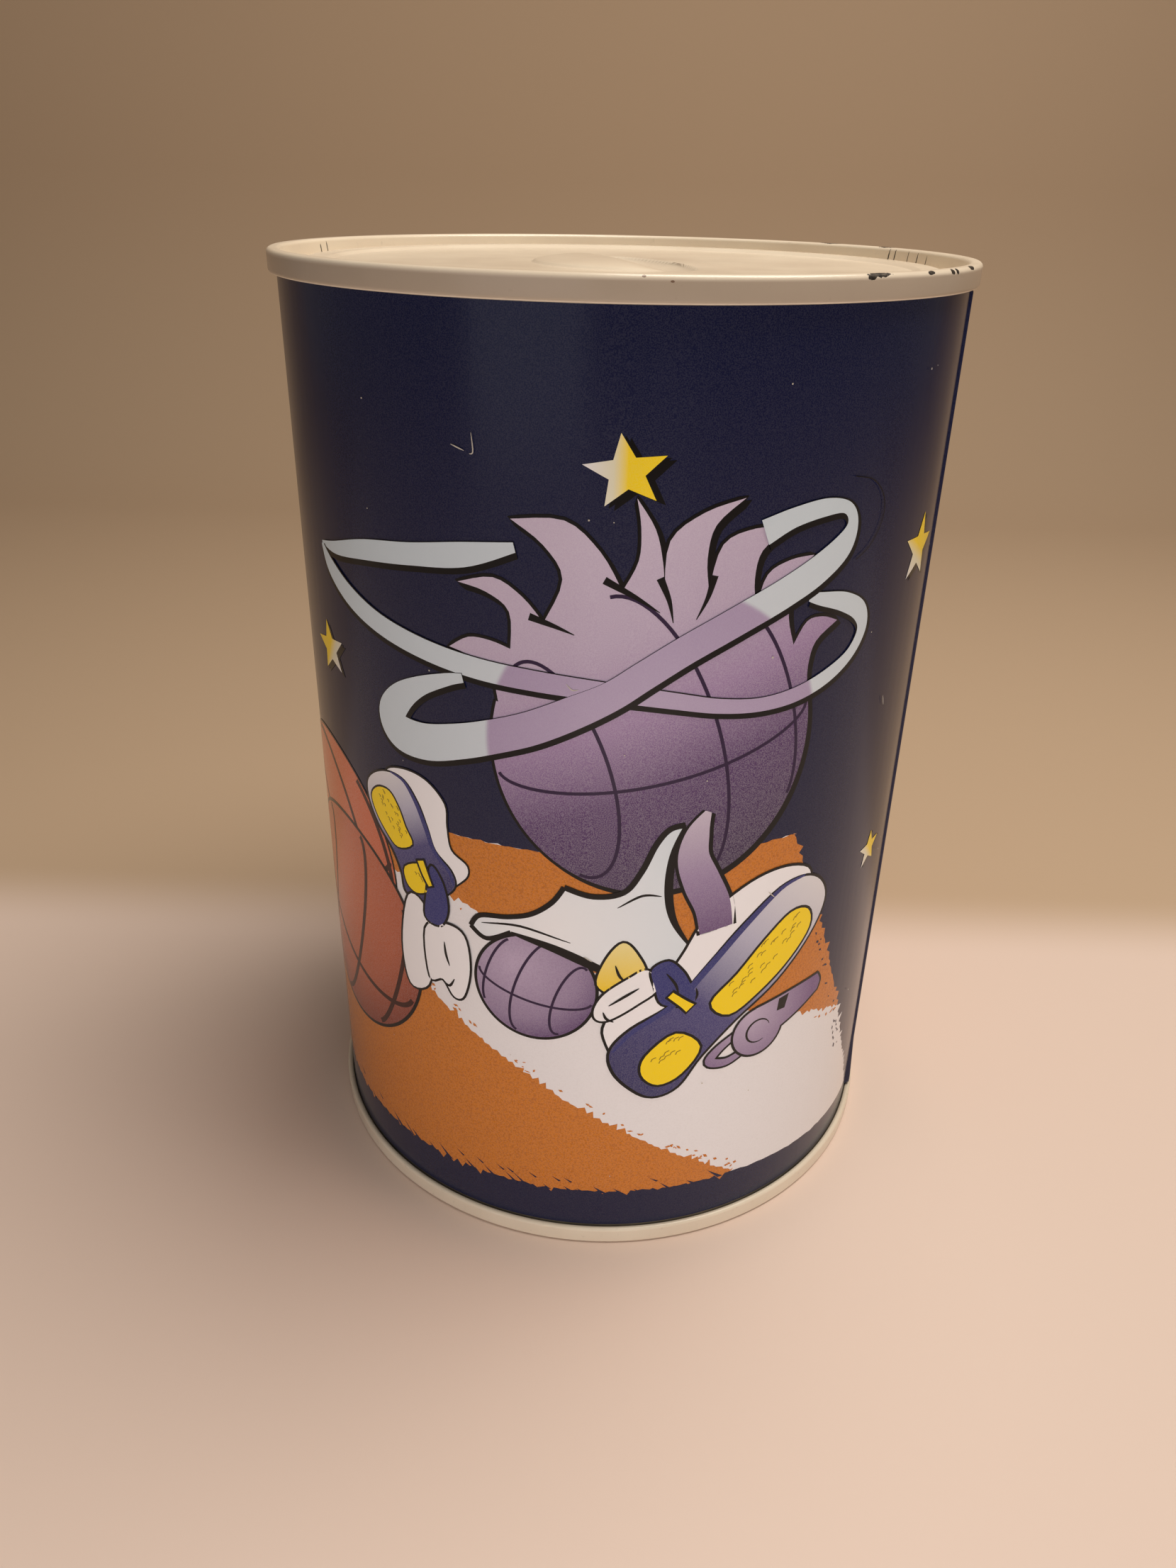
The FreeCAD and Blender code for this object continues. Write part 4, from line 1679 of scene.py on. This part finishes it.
@dataclass
class PressedEnd:
    """A pressed lid or base, double-seamed over the tube: panel, beads, chuck wall and seam."""

    name: str
    node: str
    crest: float
    facing: int
    lacquer: CreamLacquer
    slot: CoinSlot | None = None
    inner_bead: tuple[float, float] | None = None
    floor: float = -1.99
    bead: float = -1.57
    sink: float = -3.44
    hub: float = 40.0
    bead_slope: float = 0.7
    rim_bead: tuple[float, float] = (41.98, 45.58)
    groove: tuple[float, float] = (46.88, 48.63)
    chuck_top: float = 49.13
    seam_wall: float = 50.65
    seam_foot: float = -2.96
    curl: tuple[float, float] = (49.89, -1.05)
    crest_line: float = -0.14
    panel_bend: float = 0.5
    crest_bend: float = 0.48
    panel_rings: tuple[float, ...] = (22.0, 26.0, 30.0, 34.0, 37.0)

    def _profile(self) -> Path:
        """Run along the sheet's mid-line, from the panel out to the curl.

        Returns:
            Its (radius, height) points, measured from the seam's crest.
        """
        bend, slope = self.panel_bend, self.bead_slope
        corners = [(self.hub if self.slot else 0.0, self.floor, 0.0)]
        if self.inner_bead:
            low, high = self.inner_bead
            corners += [(low, self.floor, bend), (low + slope, self.bead, bend),
                        (high - slope, self.bead, bend), (high, self.floor, bend)]
        corners += [
            (self.rim_bead[0], self.floor, bend), (self.rim_bead[0] + slope, self.bead, bend),
            (self.rim_bead[1], self.bead, bend),
            (self.groove[0], self.sink, bend), (self.groove[1], self.sink, bend),
            (self.chuck_top, self.crest_line, self.crest_bend),
            (self.seam_wall, self.crest_line, self.crest_bend),
            (self.seam_wall, self.seam_foot, FOLD_BEND), (self.curl[0], self.seam_foot, FOLD_BEND),
            (*self.curl, 0.0),
        ]
        return bent(corners, 7)

    def build(self) -> bpy.types.Object:
        """Make the end.

        Returns:
            The piece\'s object.
        """
        left, right = both_sides(self._profile(), SHEET)
        place = [(radius, self.crest + self.facing * height) for radius, height in left + right[::-1]]
        bearings = [FACET * step for step in range(FACETS)]
        maker = Maker()
        lathe(maker, place, bearings)
        if self.slot:
            self._panel(maker, bearings)
        made = maker.build(self.name, [self.lacquer.material()], sharp=50.0)
        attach(made, ROOT)
        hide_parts(self.node)
        LOG.info("end %s: %d faces", self.name, len(made.data.polygons))
        return made

    def _panel(self, maker: Maker, bearings: Sequence[float]) -> None:
        """Fill the hub with a two-skinned panel that carries the slot's lips.

        Args:
            maker: takes the faces.
            bearings: the angles of the hub's rim points, in radians.
        """
        rim = [(self.hub * math.cos(turn), self.hub * math.sin(turn)) for turn in bearings]
        hole = self.slot.opening()
        middle = [(reach * math.cos(turn), reach * math.sin(turn))
                  for reach in self.panel_rings for turn in bearings[::6]]
        points = rim + hole + self.slot.supports() + middle
        rings = [list(range(len(rim))), list(range(len(rim), len(rim) + len(hole)))]
        spots, _, faces, _, _, owners = delaunay_2d_cdt(
            [Vector(point) for point in points], [], rings, 1, 1e-6, True)
        kept = [tuple(face) for face, owner in zip(faces, owners) if 1 not in owner]
        size = len(spots)
        level = self.crest + self.floor
        corners = [(spot.x, spot.y, level + skin * SHEET / 2 + self.slot.lift(spot.x, spot.y))
                   for skin in (1, -1) for spot in spots]
        edges = {(face[side], face[(side + 1) % 3]) for face in kept for side in range(3)}
        cut = sorted(edge for edge in edges
                     if (edge[1], edge[0]) not in edges and spots[edge[0]].length < self.hub - 1)
        unders = [tuple(size + corner for corner in face[::-1]) for face in kept]
        walls = [(size + first, size + second, second, first) for first, second in cut]
        maker.add(corners, kept + unders + walls)


# ---------------------------------------------------------------- the studio


@dataclass(frozen=True)
class SoftLight:
    """A square soft light that looks at the can's axis, at the height given as its aim."""

    name: str
    place: tuple[float, float, float]
    size: float
    power: float
    colour: Colour
    aim: float = 75.0
    mirrored: bool = True

    def hang(self) -> None:
        """Put the light in the scene."""
        light = bpy.data.lights.new(self.name, "AREA")
        light.size = self.size * MM
        light.energy = self.power
        light.color = self.colour
        made = bpy.data.objects.new(self.name, light)
        made.location = Vector(self.place) * MM
        made.visible_glossy = self.mirrored
        look = Vector((0, 0, self.aim * MM)) - made.location
        made.rotation_euler = look.to_track_quat("-Z", "Y").to_euler()
        bpy.context.scene.collection.objects.link(made)


@dataclass
class Studio:
    """A pale sweep, soft overhead light and the camera."""

    floor_half: float = 900.0
    wall_start: float = 420.0
    wall_bend: float = 160.0
    wall_tall: float = 700.0
    floor_colour: Colour = ink(228, 208, 196)
    wall_colour: Colour = ink(194, 170, 144)
    wall_from: tuple[float, float] = (34.0, 62.0)
    world_colour: Colour = ink(190, 178, 166)
    world_strength: float = 0.28
    eye: tuple[float, float, float] = (0.0, -185.75, 157.7)
    pitch: float = 0.4831
    yaw: float = -0.0187
    roll: float = 0.0208
    lens: float = 26.37
    sensor: float = 36.0
    near: float = 10.0
    bend_steps: int = 12
    lights: tuple[SoftLight, ...] = (
        SoftLight("key_light", (170.0, 10.0, 640.0), 380.0, 3.7, ink(255, 244, 230)),
        SoftLight("fill_light", (-300.0, -560.0, 120.0), 420.0, 0.24, ink(244, 246, 255)),
        SoftLight("bounce_card", (30.0, -275.0, 24.0), 170.0, 0.28, ink(255, 250, 246), 36.0, False),
    )

    def build(self) -> None:
        """Make the sweep, the lights and the camera."""
        self._sweep()
        for light in self.lights:
            light.hang()
        self._world()
        self._camera()

    def _sweep(self) -> None:
        """Make the floor and the curved wall behind it as one surface."""
        profile = [(-self.floor_half, 0.0), (self.wall_start, 0.0)]
        for step in range(1, self.bend_steps + 1):
            turn = math.pi / 2 * step / self.bend_steps
            profile.append((self.wall_start + self.wall_bend * math.sin(turn),
                            self.wall_bend * (1 - math.cos(turn))))
        profile.append((self.wall_start + self.wall_bend, self.wall_tall))
        maker = Maker()
        corners = [(side * self.floor_half, y, z) for side in (-1, 1) for y, z in profile]
        size = len(profile)
        maker.add(corners, [(number, size + number, size + number + 1, number + 1)
                            for number in range(size - 1)])
        tree = Tree("sweep_paper")
        _, back, _ = tree.place()
        colour = tree.mix(tree.step(back, *self.wall_from), self.floor_colour, self.wall_colour)
        paper = tree.finish({"Base Color": colour, "Roughness": 0.8})
        maker.build("studio_sweep", [paper], weld=False)

    def _world(self) -> None:
        """Give the room its even light."""
        world = bpy.data.worlds.new("room")
        world.use_nodes = True
        back = world.node_tree.nodes["Background"]
        back.inputs["Color"].default_value = (*self.world_colour, 1.0)
        back.inputs["Strength"].default_value = self.world_strength
        bpy.context.scene.world = world

    def _camera(self) -> None:
        """Stand the camera above and in front of the can."""
        level, fall = math.cos(self.pitch), math.sin(self.pitch)
        forward = Vector((math.sin(self.yaw) * level, math.cos(self.yaw) * level, -fall))
        side = Vector((math.cos(self.yaw), -math.sin(self.yaw), 0.0))
        above = side.cross(forward)
        right = math.cos(self.roll) * side + math.sin(self.roll) * above
        up = math.cos(self.roll) * above - math.sin(self.roll) * side
        lens = bpy.data.cameras.new("camera")
        lens.lens = self.lens
        lens.sensor_width = self.sensor
        lens.clip_start = self.near * MM
        camera = bpy.data.objects.new("camera", lens)
        camera.matrix_world = Matrix.Translation(Vector(self.eye) * MM) @ Matrix(
            (right, up, -forward)).transposed().to_4x4()
        bpy.context.scene.collection.objects.link(camera)
        bpy.context.scene.camera = camera
        bpy.context.scene.view_settings.view_transform = "Standard"


# ---------------------------------------------------------------- the whole


LID_CHIPS = (
    Chip(-54.2, 50.6, 148.95, 1.9, 0.42), Chip(-55.6, 50.6, 148.6, 0.8, 0.34),
    Chip(-51.6, 50.6, 149.15, 1.3, 0.22), Chip(-42.9, 50.6, 148.8, 0.75, 0.3),
    Chip(-36.6, 50.6, 148.7, 0.5, 0.42), Chip(-35.0, 50.6, 148.7, 0.42, 0.4),
    Chip(-28.0, 50.5, 148.9, 1.0, 0.4), Chip(43.8, 49.9, 149.0, 2.3, 0.6),
    Chip(29.2, 49.9, 149.0, 1.9, 0.6), Chip(27.0, 49.0, 147.7, 0.14, 1.1),
    Chip(25.2, 49.0, 147.5, 0.12, 1.2), Chip(21.0, 49.0, 147.6, 0.1, 1.0),
    Chip(17.8, 49.0, 147.5, 0.12, 1.2), Chip(14.4, 49.0, 147.6, 0.1, 0.8),
    Chip(166.0, 49.0, 147.4, 0.14, 0.9), Chip(163.6, 49.0, 147.6, 0.12, 1.1),
)
LID_SPECKS = (Chip(-87.3, 50.6, 148.75, 0.26, 0.16), Chip(-83.8, 50.7, 148.3, 0.24, 0.14))
# Top of the band of painted shade on the lid seam's upright outer wall.
LID_RIM_SHADE = CAN_HEIGHT - 0.3
BASE_BEAD = (30.0, 34.6)


def picture() -> None:
    """Print the picture's pieces, from the lowest film to the highest."""
    dark_orange, pale_orange = ink(124, 44, 26), ink(230, 122, 74)
    ball = FlamingBall()
    parts = (
        Court(), Court(middle=-156.0, seed=41),
        Stars("stars_front", ((1.2, 127.6, 5.3, 8.0, 0.0), (52.4, 112.6, 5.8, -6.0, 60.0),
                              (-48.6, 96.3, 4.8, 10.0, 150.0), (50.3, 64.0, 3.8, 0.0, 40.0))),
        Stars("stars_back", ((-118.0, 122.0, 5.6, 6.0, 0.0), (-196.0, 118.0, 5.2, -8.0, 40.0),
                             (-207.0, 92.0, 4.2, 12.0, 150.0), (-103.0, 86.0, 4.6, 0.0, 20.0))),
        ball,
        Ball("court_ball_rear", (-54.0, 61.0), 19.5, 5, ink(236, 132, 88), ink(186, 78, 40), SEAM_BROWN,
             (12.0, 38.0, -14.0)),
        Ball("court_ball_front", (-49.5, 48.6), 19.4, 8, pale_orange, dark_orange, SEAM_BROWN,
             (26.0, 14.0, 24.0), 0.6),
        Ball("small_purple_ball", (-10.0, 51.3), 9.2, 6, ink(190, 170, 200), ink(88, 56, 110),
             SEAM_VIOLET, (18.0, -20.0, 12.0), 0.5),
        Swirl(ball), Vest(), Whistle(),
        Trainer("right_trainer", (5.2, 32.6), 47.0, 11),
        Trainer("left_trainer", (-27.4, 62.0), 117.0, 11, 0.47, 0.8, True),
        SocksAndLaces(),
        Hoop(-156.0),
        Ball("hoop_ball", (-133.0, 117.0), 11.0, 9, pale_orange, dark_orange, SEAM_BROWN,
             (20.0, 30.0, 30.0), 0.6),
        Ball("floor_ball_back", (-190.0, 44.0), 15.0, 6, pale_orange, dark_orange, SEAM_BROWN,
             (30.0, 52.0, 0.0)),
        Scuffs(),
    )
    for part in parts:
        part.draw()


def main() -> None:
    """Build the money box and its studio."""
    logging.basicConfig(level=logging.INFO, format="%(message)s")
    Tube().build()
    PressedEnd("slotted_lid", "top_end", CAN_HEIGHT, 1,
               CreamLacquer("cream_lacquer_lid", LID_CHIPS, LID_SPECKS, rim_shade_below=LID_RIM_SHADE),
               CoinSlot()).build()
    PressedEnd("pressed_base", "bottom_end", 0.0, -1, CreamLacquer("cream_lacquer_base", wear=0.8),
               None, BASE_BEAD).build()
    picture()
    Studio().build()


if __name__ == "__main__":
    main()
